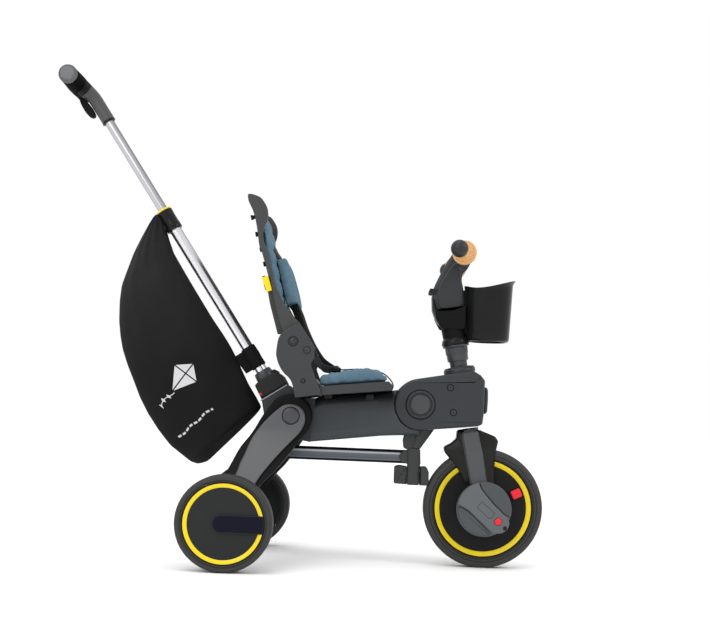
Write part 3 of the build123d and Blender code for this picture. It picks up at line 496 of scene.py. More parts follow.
def plated(outline, low, high, place, edge, steps, back_edge=None, depth=None, mesh=None, flat=0.0):
    """Plate between two levels across, with rounded rims. edge is how far the front rim comes in and
    depth how far down it reaches; flat runs from a round rim (0) to a straight facet (1). edge and flat
    are one number or one per point. place turns (u, v, across) into metres."""
    mesh = mesh or bmesh.new()
    count = len(outline)
    edge = edge if isinstance(edge, list) else [edge] * count
    flat = flat if isinstance(flat, list) else [flat] * count
    back_edge = sum(edge) / count if back_edge is None else back_edge
    depth = depth or sum(edge) / count
    sign = 1 if high > low else -1
    levels = [(back_edge * 1.15, low)] if back_edge > 0 else [(0.0, low)]
    for k in range(steps if back_edge > 0 else 0):
        a = math.pi / 2 * k / steps
        levels.append((back_edge * (1 - math.sin(a)), low + sign * back_edge * (1 - math.cos(a))))
    for k in range(steps + 1):
        a = math.pi / 2 * k / steps
        amounts = [e * (f * math.sin(a) + (1 - f) * (1 - math.cos(a))) for e, f in zip(edge, flat)]
        levels.append((amounts, high - sign * depth * (1 - math.sin(a))))
    levels.append(([e + 0.4 for e in edge], high))
    ring_faces(mesh, [[mesh.verts.new(place(p.x, p.y, level)) for p in inset(outline, amount)]
                      for amount, level in levels])
    return mesh


def turned(profile, origin, axis, segments, wave=None, mesh=None):
    """Lathed solid. profile is (radius, along) in millimetres from origin along axis;
    wave changes a radius and place: wave(radius, along, angle)."""
    mesh = mesh or bmesh.new()
    axis = Vector(axis).normalized()
    side = axis.orthogonal().normalized()
    other = axis.cross(side)
    rings = []
    for r, t in profile:
        if r < 1e-6:
            rings.append([mesh.verts.new(origin + axis * (t * MM))])
            continue
        ring = []
        for k in range(segments):
            angle = 2 * math.pi * k / segments
            rr, tt = wave(r, t, angle) if wave else (r, t)
            ring.append(mesh.verts.new(origin + axis * (tt * MM)
                                       + (side * math.cos(angle) + other * math.sin(angle)) * (rr * MM)))
        rings.append(ring)
    for low, high in zip(rings, rings[1:]):
        for k in range(segments):
            j = (k + 1) % segments
            if len(low) == 1 and len(high) == 1:
                continue
            if len(low) == 1:
                mesh.faces.new((low[0], high[j], high[k]))
            elif len(high) == 1:
                mesh.faces.new((low[k], low[j], high[0]))
            else:
                mesh.faces.new((low[k], low[j], high[j], high[k]))
    return mesh


def heading(line, i):
    """Direction of a line of points at one of them."""
    return (line[min(i + 1, len(line) - 1)] - line[max(i - 1, 0)]).normalized()


def strap(points, width, thick, across):
    """Flat webbing along a smooth line of points in metres. across is the direction of its width."""
    line = curved(points, 6, closed=False)
    across = Vector(across).normalized()
    w, h = width * MM / 2, thick * MM / 2
    section = ((-w, -h * 0.4), (-w * 0.94, -h), (w * 0.94, -h), (w, -h * 0.4),
               (w, h * 0.4), (w * 0.94, h), (-w * 0.94, h), (-w, h * 0.4))
    rings = []
    for i, p in enumerate(line):
        run = heading(line, i)
        up = run.cross(across).normalized()
        wide = up.cross(run).normalized()
        rings.append([p + wide * a + up * b for a, b in section])
    return lofted(rings)


def tube(points, radius, per, sides, mesh=None):
    """Round bar along a smooth line of points in metres; radius in millimetres."""
    line = curved(points, per, closed=False)
    up = None
    rings = []
    for i, p in enumerate(line):
        run = heading(line, i)
        up = run.orthogonal().normalized() if up is None else (up - run * up.dot(run)).normalized()
        wide = run.cross(up)
        rings.append([p + (up * math.cos(a) + wide * math.sin(a)) * (radius * MM)
                      for a in (2 * math.pi * k / sides for k in range(sides))])
    return lofted(rings, mesh=mesh)


def eased(node, width, segments=2):
    """Rounds the edges of a carried-over CAD node."""
    piece = NODES[node]
    weld = piece.modifiers.new("weld", "WELD")
    weld.merge_threshold = 0.00002
    bevel = piece.modifiers.new("ease", "BEVEL")
    bevel.width = width * MM
    bevel.segments = segments
    bevel.limit_method = "ANGLE"
    bevel.angle_limit = math.radians(32.0)
    bevel.harden_normals = False
    piece.data.shade_smooth()
    piece.modifiers.new("smooth", "WEIGHTED_NORMAL").keep_sharp = False


# ---------------------------------------------------------------- wheels
REAR_R, FRONT_R = 90.0, 120.0
TRACK_HALF = JOINTS["rear_wheel_left_spin"]["pos_m"][1] / MM
REAR_FACE = 15.0                     # outer face of a rear wheel's disc, from the tyre's middle
RING_R = 73.8                        # outer radius of a rear wheel's trim ring
BADGE_R, BADGE_X = 16.6, -3.6        # round inner end of the plate in a rear wheel
TAB_TURN = math.radians(25.6)        # where the clutch tab sits round the front wheel


def tyre_profile(radius, depth, width, groove):
    """Section of a tyre as (radius, along): bead, fine sidewall grooves, shoulder, lined tread."""
    half, inner, shoulder = width / 2, radius - depth, 7.0
    side = [(inner + 0.2, half - 4.0), (inner + 1.0, half - 0.8), (inner + 1.8, half)]
    for at in groove:
        r = inner + depth * at
        side += [(r - 1.2, half + 0.1), (r - 0.7, half - 1.4), (r + 0.5, half - 1.4), (r + 1.0, half + 0.3)]
    for k in range(8):
        a = math.pi / 2 * k / 7
        side.append((radius - shoulder * (1 - math.sin(a)), half - shoulder * (1 - math.cos(a))))
    tread = []
    for at in (0.42, 0.14):
        y = half * at
        tread += [(radius, y + 0.9), (radius - 0.9, y + 0.5), (radius - 0.9, y - 0.5), (radius, y - 0.9)]
    outer = side + tread
    return outer + [(r, -t) for r, t in reversed(outer)]


def rear_wheel_pieces(name, s):
    """Tyre with fine grooves, yellow trim ring, and the navy plate let into the disc."""
    centre, out, body = rear(0, REAR_R, s * TRACK_HALF), (0, s, 0), f"rear_wheel_{name}"
    face = REAR_FACE
    tyre = turned(tyre_profile(REAR_R, 14.0, 40.0, (0.26, 0.60)), centre, out, 96)
    remade(f"rear_tyre_{name}", tyre, "tyre", body)
    ring = [(66.0, face - 0.5), (66.0, face - 0.3), (66.4, face), (RING_R - 0.6, face + 3.1),
            (RING_R, face + 3.0), (RING_R, face - 0.5)]
    remade(f"rear_trim_ring_{name}", turned(ring, centre, out, 96), "yellow", body)
    rim = RING_R + 0.8
    spread = math.degrees(math.asin(BADGE_R / rim))
    pocket = arc((BADGE_X, 0), BADGE_R, 90, 270, 16) + arc((0, 0), rim, -spread, spread, 10)
    on_disc = lambda u, v, w: rear(u, REAR_R + v, s * (TRACK_HALF + w))
    bed = plated(pocket, face - 0.4, face + 3.2, on_disc, 0.5, 2)
    finished(f"rear_badge_rim_{name}", bed, "wheel_disc", body)
    plate = plated(inset(pocket, 1.6), face + 1.0, face + 3.6, on_disc, 0.4, 2)
    finished(f"rear_badge_plate_{name}", plate, "navy_gloss", body)
    dish = [(0, face - 0.2), (64.2, face - 0.2), (65.0, face + 0.3), (65.7, face + 0.1)]
    finished(f"rear_disc_face_{name}", turned(dish, centre, out, 96), "wheel_disc", body)
    eased(f"rear_wheel_{name}", 0.5)


def front_wheel_pieces():
    """Tyre, yellow rings and disc faces, and the red clutch tab on its bed."""
    centre, body = front(0, FRONT_R), "front_wheel"
    tyre = turned(tyre_profile(FRONT_R, 21.0, 36.0, (0.16, 0.42)), centre, (0, 1, 0), 112)
    remade("front_tyre", tyre, "tyre", body)
    ring = [(87.2, 11.6), (87.2, 11.8), (87.6, 12.1), (96.2, 15.2), (96.8, 15.0), (96.8, 11.6)]
    outer_lip = [(99.6, 12.0), (99.0, 15.2), (97.6, 15.3), (97.0, 12.2)]
    inner_lip = [(86.8, 12.1), (86.3, 12.8), (85.4, 13.0), (84.0, 12.4), (60.0, 12.25)]
    rings, faces = bmesh.new(), bmesh.new()
    for _, s in SIDES:
        turned(ring, centre, (0, s, 0), 112, mesh=rings)
        for lip in (outer_lip, inner_lip):
            turned(lip, centre, (0, s, 0), 112, mesh=faces)
    remade("front_trim_rings", rings, "yellow", body)
    # painted shade: the front disc faces take the darker copy of the disc plastic
    finished("front_disc_faces", faces, "front_disc", body)
    eased("front_wheel", 0.6)
    on_tab = tilted(mirrored(front, -1), (0, FRONT_R), TAB_TURN)
    tab = rounded([(63.5, -9), (83.0, -9), (83.6, 0), (83.0, 9), (63.5, 9)], 3.4)
    remade("clutch_tab", plated(tab, 12.2, 17.0, on_tab, 1.6, 3), "red", "clutch_tab")
    bed = rounded([(56, -10.5), (85.4, -10.5), (85.4, 10.5), (56, 10.5)], 3)
    finished("clutch_tab_bed", plated(bed, 12.0, 13.2, on_tab, 0.6, 2), "leg_black", body)


# ---------------------------------------------------------------- rear legs
LEG_KNEE, LEG_ANKLE = 262.0, 128.0   # heights between which a leg moves outwards
LEG_SPREAD = 110.0
LEG_PIVOT = rear(105.5, 291)


def leg_out(z):
    """How far a leg's faces move outwards at height z."""
    t = min(1.0, max(0.0, (LEG_KNEE - z) / (LEG_KNEE - LEG_ANKLE)))
    eased_t = t * t * (3 - 2 * t)
    return LEG_SPREAD * (0.45 * t + 0.55 * eased_t)


def splayed(outline, low, high, edge, back_edge, s):
    """Plate cut at level lines and bent outwards, as the legs are."""
    mesh = plated(outline, low, high, rear, edge, 4, back_edge=back_edge)
    for z in range(60, 340, 5):      # level cuts, so that the faces can bend
        geometry = mesh.verts[:] + mesh.edges[:] + mesh.faces[:]
        bmesh.ops.bisect_plane(mesh, geom=geometry, plane_co=(0, 0, z * MM), plane_no=(0, 0, 1))
    for vert in mesh.verts:
        vert.co.y = s * (vert.co.y + leg_out(vert.co.z / MM) * MM)
    return mesh


def leg_pieces():
    """The two legs that swing together, their covers, and the cap over their pivot."""
    core = (arc((103, 291), 43, -8, 139, 21)
            + curved([(66, 312), (49, 288), (30, 254), (12, 228), (3, 208), (-6, 186), (-19, 168), (-24, 140),
                      (-24, 95), (-10, 68), (12, 68), (24, 92), (40, 130), (60, 160), (83, 185), (103, 212),
                      (124, 243), (138, 263)], 3, closed=False))
    cover = curved([(81, 304), (90, 310.5), (103, 313.6), (117, 311.6), (127.5, 304.5), (133, 292.5),
                    (132.4, 277), (124, 259), (109.5, 242), (92, 222), (75.5, 201), (58, 176), (46, 153),
                    (36, 131), (20, 118), (4, 124), (-2, 142), (3, 160), (12, 180), (16, 197), (22, 214),
                    (32, 244), (49, 271), (68, 292)],
                   4)
    for name, s in SIDES:
        remade(f"rear_leg_{name}", splayed(core, 44.0, 78.0, 5.0, 3.0, s), "leg_black", "rear_legs")
    covers = gathered(splayed(cover, 76.0, 85.0, 4.0, 0.0, s) for _, s in SIDES)
    remade("leg_covers", covers, "cover_plastic", "rear_legs")
    cap = [(15.9, 84.5), (15.9, 85.8), (15.0, 86.8), (12.0, 87.6), (6.0, 88.2), (0, 88.4)]
    gap = [(17.7, 84.9), (17.3, 85.4), (16.3, 85.4), (15.8, 85.0)]
    for name, s in SIDES:
        finished(f"leg_pivot_cap_{name}", turned(cap, LEG_PIVOT, (0, s, 0), 64), "cap_plastic", "rear_legs")
        finished(f"leg_pivot_gap_{name}", turned(gap, LEG_PIVOT, (0, s, 0), 64), "leg_black", "rear_legs")


# ---------------------------------------------------------------- frame
BEAM_TOP, BEAM_BOTTOM = (333.2, 349.2), (240.0, 264.0)   # heights at the beam's rear and front ends
BEAM_HALF = 40.0
FLARE_START, FLARE_R = 266.0, 53.0                       # its start, and its reach round the fold pivot
FOLD = (359.0, 323.0)                                    # fold pivot, from the rear axle


def flare_point(t, angle, s):
    """Place on the flare: t goes from the beam (0) to the front housing (1), angle up over its side."""
    rise = 5.4 * t ** 2
    proud = 0.5 * min(1.0, 5 * t) - 0.3
    top = BEAM_TOP[0] + (BEAM_TOP[1] - BEAM_TOP[0]) * (0.69 + 0.31 * t) + rise * 0.5
    bottom = BEAM_BOTTOM[0] + (BEAM_BOTTOM[1] - BEAM_BOTTOM[0]) * (0.63 + 0.37 * t) - rise * 0.6
    square = 0.42                # makes the section a rounded box
    up = math.copysign(abs(math.sin(angle)) ** square, math.sin(angle))
    z = (top + bottom) / 2 + ((top - bottom) / 2 + proud) * up
    y = (BEAM_HALF + proud + rise) * abs(math.cos(angle)) ** square
    reach = math.sqrt(max(0.0, FLARE_R ** 2 - (z - FOLD[1]) ** 2))
    return rear(FLARE_START + (FOLD[0] - reach - FLARE_START) * t, z, s * y)


def thickened(piece, thickness):
    """Gives an open skin its thickness, inwards."""
    thick = piece.modifiers.new("thick", "SOLIDIFY")
    thick.thickness = thickness * MM
    thick.offset = -1


def frame_pieces():
    """Beam with its flare, rear housing with a pale strip painted along its top edge as a highlight, seat pan with
    its catches.
    """
    eased("main_beam", 1.5)
    eased("rear_housing", 3.0, 3)
    eased("seat_pan", 4.0, 3)
    flare = bmesh.new()
    for _, s in SIDES:
        rings = [[flare_point(k / 14, math.radians(-72 + 6 * j), s) for j in range(25)] for k in range(15)]
        lofted(rings, closed=False, caps=False, mesh=flare)
    thickened(finished("beam_flare", flare, "beam_plastic", "frame"), 1.2)
    # painted highlight: a pale strip where the housing's top edge catches the light
    bead = rounded([(42.0, 316.8), (93.5, 350.8), (92.6, 353.0), (41.0, 319.2)], 0.8, 2)
    beads = gathered(plated(bead, 42.0, 44.4, mirrored(rear, s), 0.5, 2) for _, s in SIDES)
    finished("housing_top_bead", beads, "pale_line", "frame")
    for x, name in ((176, "rear"), (259, "front")):
        catch = rounded([(x - 9, 327), (x + 7, 328.5), (x + 7, 340), (x - 9, 338.5)], 2.5)
        finished(f"seat_catch_{name}", plated(catch, 38.0, 41.6, mirrored(rear, -1), 1.0, 2), "black_plastic",
                 "frame")


# ---------------------------------------------------------------- front end
FOLD_FRONT = (FOLD[0] - WHEELBASE, FOLD[1])
SHELL_FACE = 46.0                    # outer face of a housing shell
FACET_FOOT = 371.0                   # height from which its upper edge is cut to a straight facet
STEER_TILT = math.radians(10.5)
STEER_AXIS = Vector((-math.sin(STEER_TILT), 0, math.cos(STEER_TILT)))
COLUMN_FOOT = front(-57, 396)
STRUT_PIVOT = front(-158, 217)


def shell_screw(name, s, centre):
    """Hex socket screw in a recess of a housing shell; the recess is painted black as its shade."""
    place, out, r = front(*centre, s * SHELL_FACE), (0, s, 0), 7.2
    recess = [(r, -0.5), (r, 0.25), (r - 0.9, 0.3), (r - 1.6, 0.0), (r - 2.0, -1.5), (0, -1.6)]
    # painted shade: the recess is black, darker than the shell round it
    finished(f"{name}_recess", turned(recess, place, out, 40), "leg_black", "front_end")
    r -= 2.6
    head = [(r, -1.6), (r, 0.1), (r - 0.6, 0.7), (r * 0.55, 0.9), (r * 0.5, -0.8), (0, -0.9)]
    hexed = lambda radius, t, a: (radius * (0.92 + 0.08 * math.cos(6 * a)) if radius < r * 0.6 else radius, t)
    finished(f"{name}_head", turned(head, place, out, 36, hexed), "dark_steel", "front_end")


def front_end_pieces():
    """Folding housing: two shells, round buttons, screws, column flange, strut and footrests."""
    outline = joined(arc(FOLD_FRONT, 52.0, 97, 262),
                     [(-107, 274.5, 8), (-19, 284.5, 6), (-10, 289, 4), (-8, 308, 6), (-8, 376, 6),
                      (-17, 386.5, 6), (-32, 395, 8)])
    edge, flat = [], []
    for p in outline:
        on_top = p.y > FACET_FOOT + 2 and -142 < p.x < -16
        edge.append(max(5.0, p.y - FACET_FOOT) if on_top else 4.5)
        flat.append(1.0 if on_top else 0.0)
    pivot = front(*FOLD_FRONT)
    shade = [(27.6, 45.6), (28.6, 46.25), (29.8, 46.25), (30.8, 45.6)]
    ring = [(22.6, 45.2), (22.8, 47.8), (23.6, 48.8), (25.8, 48.8), (27.2, 48.0), (28.0, 46.4), (28.2, 45.4)]
    well = [(23.0, 47.4), (22.4, 46.6), (22.0, 36.8), (20.0, 36.4), (0, 36.4)]
    button = [(19.6, 41.4), (19.8, 46.0), (19.2, 47.2), (17.8, 47.9), (14.0, 48.3), (0, 48.6)]
    screws = bmesh.new()
    for name, s in SIDES:
        out = (0, s, 0)
        shell = plated(outline, 31.4, SHELL_FACE, mirrored(front, s), edge, 5, back_edge=0.0, depth=9.0,
                       flat=flat)
        remade(f"front_housing_{name}", shell, "body_plastic", "front_end", 44)
        finished(f"button_shade_{name}", turned(shade, pivot, out, 80), "leg_black", "front_end")
        finished(f"button_ring_{name}", turned(ring, pivot, out, 80), "body_plastic", "front_end")
        finished(f"button_well_{name}", turned(well, pivot, out, 64), "leg_black", "front_end")
        remade(f"fold_button_{name}", turned(button, pivot, out, 64), "collar_grey", f"fold_button_{name}")
        for index, centre in enumerate(((-77.0, 359.0), (-69.0, 310.0))):
            shell_screw(f"shell_screw_{name}_{index}", s, centre)
            turned([(3.0, 0), (3.0, 0.5), (0, 0.5)], front(*centre, s * 44.0), out, 12, mesh=screws)
    remade("housing_screws", screws, "dark_steel", "front_end")
    plate = rounded([(-10, 311), (-3.5, 309), (0.5, 314), (1.2, 337), (0.5, 358), (-3.5, 364), (-10, 362)], 3)
    finished("nose_plate", plated(plate, -27.0, 27.0, front, 5.0, 4), "hanger_dark", "front_end")
    flange = [(32.0, -5.0), (32.0, 1.4), (31.0, 3.2), (29.0, 4.4), (27.0, 6.2), (20.0, 7.5), (18.6, 7.5),
              (18.6, 0)]
    finished("column_flange", turned(flange, COLUMN_FOOT, STEER_AXIS, 72), "body_plastic", "front_end")
    eased("head_block", 2.0)
    hanger = bmesh.new()
    wedge = rounded([(-163, 264, 4), (-166, 250, 6), (-164, 235, 4), (-150, 229, 3), (-130.5, 234.5, 4),
                     (-98, 283, 3), (-98, 300, 2), (-150, 296, 4)], 4, 4)
    post = rounded([(-156, 232, 4), (-146, 236, 5), (-130.5, 234, 3), (-128.6, 205, 8), (-131.4, 194, 3),
                    (-130.4, 161, 3), (-154.8, 161, 3), (-154.8, 206, 5)], 3, 4)
    ribs = (((-146.5, 236), (-141.6, 252), (-138.5, 266)), ((-132, 238), (-121, 254.5), (-106, 277)))
    eye = [(0, 11.0), (13.5, 11.0), (13.5, 15.4), (12.3, 16.6), (0, 16.8)]
    for _, s in SIDES:
        plated(wedge, 11.0, 16.2, mirrored(front, s), 2.0, 3, mesh=hanger)
        plated(post, 11.2, 19.4, mirrored(front, s), 2.4, 3, mesh=hanger)
        for rib in ribs:
            tube([front(x, z, s * 16) for x, z in rib], 1.4, mesh=hanger, per=2, sides=10)
        turned(eye, STRUT_PIVOT, (0, s, 0), 48, mesh=hanger)
    block = rounded([(-150, 236), (-132, 238), (-106, 280), (-106, 298), (-150, 294)], 3, 3)
    plated(block, -11.5, 11.5, front, 1.0, 2, mesh=hanger)
    remade("strut_bracket", hanger, "hanger_dark", "front_end")
    eased("fold_strut", 2.5, 3)
    pin = [(0, 12.4), (3.4, 12.4), (5.0, 11.6), (5.2, 10.4)]
    for name, s in SIDES:
        footrest(name, s)
        finished(f"strut_pin_{name}", turned(pin, STRUT_PIVOT, (0, s, 0), 32), "chrome", "fold_strut")


def footrest(name, s):
    """Two lobes on a rod, with grip ribs on the rear one."""
    rear_lobe = [(-181, 163, 3), (-181, 197, 5), (-171, 199.5, 4), (-155.2, 197.5, 1), (-155.2, 162, 1)]
    front_lobe = [(-129.9, 161, 1), (-129.9, 198, 1), (-116, 199, 5), (-111.4, 188, 4), (-110.8, 163, 4),
                  (-116, 161, 3)]
    rest = bmesh.new()
    for lobe in (rear_lobe, front_lobe):
        plated(rounded(lobe, 3, 4), 12.2, 19.8, mirrored(front, s), 2.2, 3, mesh=rest)
    turned([(2.9, -179), (2.9, -112), (0, -112), (0, -179)], front(0, 166, s * 16), (1, 0, 0), 16, mesh=rest)
    for z in range(170, 192, 7):
        rib = rounded([(-179, z), (-159, z), (-159, z + 3), (-179, z + 3)], 1.2, 2)
        plated(rib, 19.0, 20.4, mirrored(front, s), 0.6, 2, mesh=rest)
    remade(f"footrest_{name}", rest, "hanger_dark", f"footrest_{name}")


# ---------------------------------------------------------------- fork and fender
def fender_pieces():
    """Dished fender that joins over the tyre, and the two blades of the fork."""
    line = rounded([(-57, 276), (-58, 258), (-68, 248.5), (-83, 240), (-81, 231), (-72, 220), (-56, 201),
                    (-46, 184), (-39, 171), (22, 150), (21, 180), (19.5, 212), (21.5, 236), (25.5, 256),
                    (19, 265.5), (-12, 277)], 7, 4)
    count, steps = len(line), 12
    middle = Vector((-29.0, 222.0))
    mesh = bmesh.new()
    rims = []
    for _, s in SIDES:
        rows = []
        for k in range(steps + 1):
            t = k / steps
            level = 28.5 - 10.5 * (1 - t) ** 1.7
            row = [middle + (p - middle) * (1 - t * 0.999) for p in line]
            rows.append([mesh.verts.new(front(q.x, q.y, s * level)) for q in row])
        ring_faces(mesh, rows, caps=False)
        mesh.faces.new(rows[-1])
        rims.append(rows[0])
    # the saddle joins the two sides where their edge lies over the tyre
    left, right = rims
    away = [(p - Vector((0, FRONT_R))).length > FRONT_R + 4.5 for p in line]
    for i in range(count):
        j = (i + 1) % count
        if away[i] and away[j]:
            mesh.faces.new((left[i], left[j], right[j], right[i]))
    thickened(remade("fender", mesh, "fender_dark", "steering", 78), 1.6)
    eased("fork", 2.2, 3)
    blade = rounded([(-49, 270, 8), (-18, 277, 8), (-6, 232, 12), (4, 180, 12), (15, 150, 6), (14, 118, 15),
                     (-13, 118, 15), (-21, 150, 6), (-29, 176, 12), (-40, 224, 12)], 6, 5)
    for name, s in SIDES:
        finished(f"fork_blade_{name}", plated(blade, 22.6, 34.2, mirrored(front, s), 4.0, 4), "blade_grey",
                 "steering")


# ---------------------------------------------------------------- cranks and pedals
CRANK_LEVELS = (34.5, 40.0, 50.0)    # inner face, face of the disc, face of the raised part
CRANK_R = 54.6
CRANK_TURN = math.radians(-40.5)     # how the inlay and the pedal's button are turned


def crank_place(s):
    """Right crank as drawn; the left one is half a turn round."""
    centre = front(0, FRONT_R)
    return lambda u, v, w: centre + Vector((-s * u * MM, s * w * MM, -s * v * MM))


def squared(half_long, half_high, radius):
    """Rounded rectangle about its centre."""
    return rounded([(-half_long, -half_high), (half_long, -half_high), (half_long, half_high),
                    (-half_long, half_high)], radius)


def crank_pieces():
    """Crank discs with their leaves, the pedals folded into them, and the pedals' buttons."""
    inner, base, top = CRANK_LEVELS
    upper = ([Vector((-11.4, 52.2))] + arc((0, 0), CRANK_R, 106, 171.5, 14)
             + between([(-53, 8), (-47.4, 6.2, 4), (-32.3, -2.0, 5), (16.5, -45.4, 4), (22, -47.0, 5),
                        (36, -45.6, 6), (47.5, -37.5, 7), (51, -25.6, 6), (47.4, -14.2, 3)], 4)
             + curved([(47.4, -14.2), (38, -8), (28.5, 1), (19, 9.5), (11.4, 18), (3.5, 26.5), (-1.9, 33.2),
                       (-7.5, 40.5), (-11.4, 48.4), (-11.4, 52.2)], 3, closed=False)[:-1])
    leaf = (arc((0, 0), CRANK_R, -12, 101, 22)
            + curved([(-10.4, 51.5), (-10.0, 48.6), (-6, 41), (-0.4, 34), (5, 27.5), (12.8, 19), (20.4, 10.5),
                      (30, 2), (39.5, -6.6), (48.5, -12.4)], 3, closed=False))
    sole = (arc((0, 0), 52.6, 176.5, 286.0, 26)
            + between([(14.5, -50.6), (14.0, -47.6, 3), (-30, -6.6, 5), (-46, 2.2, 4), (-52.4, 3.4)], 4))
    disc = [(0, inner), (CRANK_R + 0.3, inner), (CRANK_R + 0.3, base - 1.2), (CRANK_R - 0.6, base), (0, base)]
    hole = [(4.4, top - 1), (4.4, top + 0.4), (3.8, top + 0.5), (3.4, top + 0.1), (0, top)]
    inlay = squared(18, 8, 3)
    body, slot = "front_wheel", "body_plastic"
    parts = []
    for name, s in SIDES:
        place, out = crank_place(s), (0, s, 0)
        parts.append(turned(disc, front(0, FRONT_R), out, 96))
        parts.append(plated(upper, base - 0.5, top, place, 2.6, 4, back_edge=0.0))
        petal = plated(leaf, base - 0.5, top - 3.6, place, 1.8, 3, back_edge=0.0)
        finished(f"crank_leaf_{name}", petal, "crank_low", body)
        at_inlay = tilted(place, (2.8, -1.0), CRANK_TURN)
        line = plated(inlay, top - 0.6, top + 0.12, at_inlay, 0.3, 2, back_edge=0.0)
        finished(f"crank_line_{name}", line, "fender_dark", body)
        tile = plated(inset(inlay, 0.9), top - 0.6, top + 0.3, at_inlay, 0.3, 2, back_edge=0.0)
        finished(f"crank_inlay_{name}", tile, "crank_grey", body)
        spot = place(42.0, -35.0, 0)
        finished(f"crank_hole_{name}", turned(hole, spot, out, 32), "black_plastic", body)
        at_button = tilted(place, (27.8, -22.2), CRANK_TURN)
        button = plated(squared(6.2, 6.2, 4.4), top - 1.5, top + 2.0, at_button, 1.3, 3)
        remade(f"pedal_button_{name}", button, "red", f"pedal_button_{name}")
        surround = plated(squared(7.2, 7.2, 5.0), top - 0.6, top + 0.5, at_button, 0.5, 2)
        finished(f"pedal_button_frame_{name}", surround, "black_plastic", body)
        pedal = plated(sole, base + 0.6, top - 0.4, place, 3.0, 4, back_edge=1.0)
        remade(f"pedal_{name}", pedal, "crank_low", f"pedal_{name}")
    remade("crank_discs", gathered(parts), "crank_grey", body)


# ---------------------------------------------------------------- steering column and handlebar
def column_pieces():
    """Steering tube with its ribbed collar, and the socket that holds the stem."""
    def ribbed(r, t, a):
        return (r + (0.9 if math.cos(12 * a) > 0.55 else 0.0), t) if 33 < t < 46.5 and r > 20 else (r, t)

    profile = [(12.0, 2), (17.4, 2), (17.6, 12), (18.0, 18.6), (20.4, 19.2), (21.2, 20.6), (21.6, 33),
               (21.7, 33.6), (22.0, 46.0), (23.4, 47.0), (26.6, 48.2), (27.2, 49.6), (26.6, 51.0),
               (21.0, 52.0), (20.0, 54.0), (19.8, 64.0), (12.0, 64.0)]
    column = turned(profile, COLUMN_FOOT, STEER_AXIS, 120, ribbed)
    remade("steering_tube", column, "collar_grey", "steering", 30)

    cheek = rounded([(-112.5, 517, 2), (-104, 514.2, 5), (-80, 515.2, 4), (-67, 519.5, 4), (-51.5, 527.5, 2),
                     (-50.5, 490, 8), (-53, 478, 4), (-99, 477, 6), (-110.5, 497, 10)], 4, 5)
    ear = rounded([(-118.4, 536, 1), (-115.5, 536, 1), (-107, 514, 2), (-112.5, 512, 2)], 2, 3)
    core = [(0, 48), (22.0, 48), (22.6, 50), (23.6, 66), (24.6, 80), (24.8, 88), (23.4, 90), (0, 90)]
    parts = []
    for _, s in SIDES:
        parts.append(plated(cheek, 20.6, 27.2, mirrored(front, s), 1.4, 4, back_edge=0.2))
        plated(ear, 20.6, 26.0, mirrored(front, s), 1.0, 3, mesh=parts[-1])
    parts.append(turned(core, COLUMN_FOOT, STEER_AXIS, 72))
    remade("stem_socket", gathered(parts), "leg_black", "steering", 34)
    skirt = [(24.0, -2.0), (27.6, -1.2), (28.2, 3.0), (26.2, 9.0), (22.0, 14.0), (18.0, 16.0)]
    finished("socket_skirt", turned(skirt, COLUMN_FOOT + STEER_AXIS * (53.5 * MM), STEER_AXIS, 72),
             "gloss_black", "steering")
    bolt = [(0, 28.4), (4.4, 28.4), (5.6, 27.8), (6.2, 26.4)]
    for name, s in SIDES:
        finished(f"stem_pin_{name}", turned(bolt, front(-84, 500), (0, s, 0), 32), "leg_black", "steering")


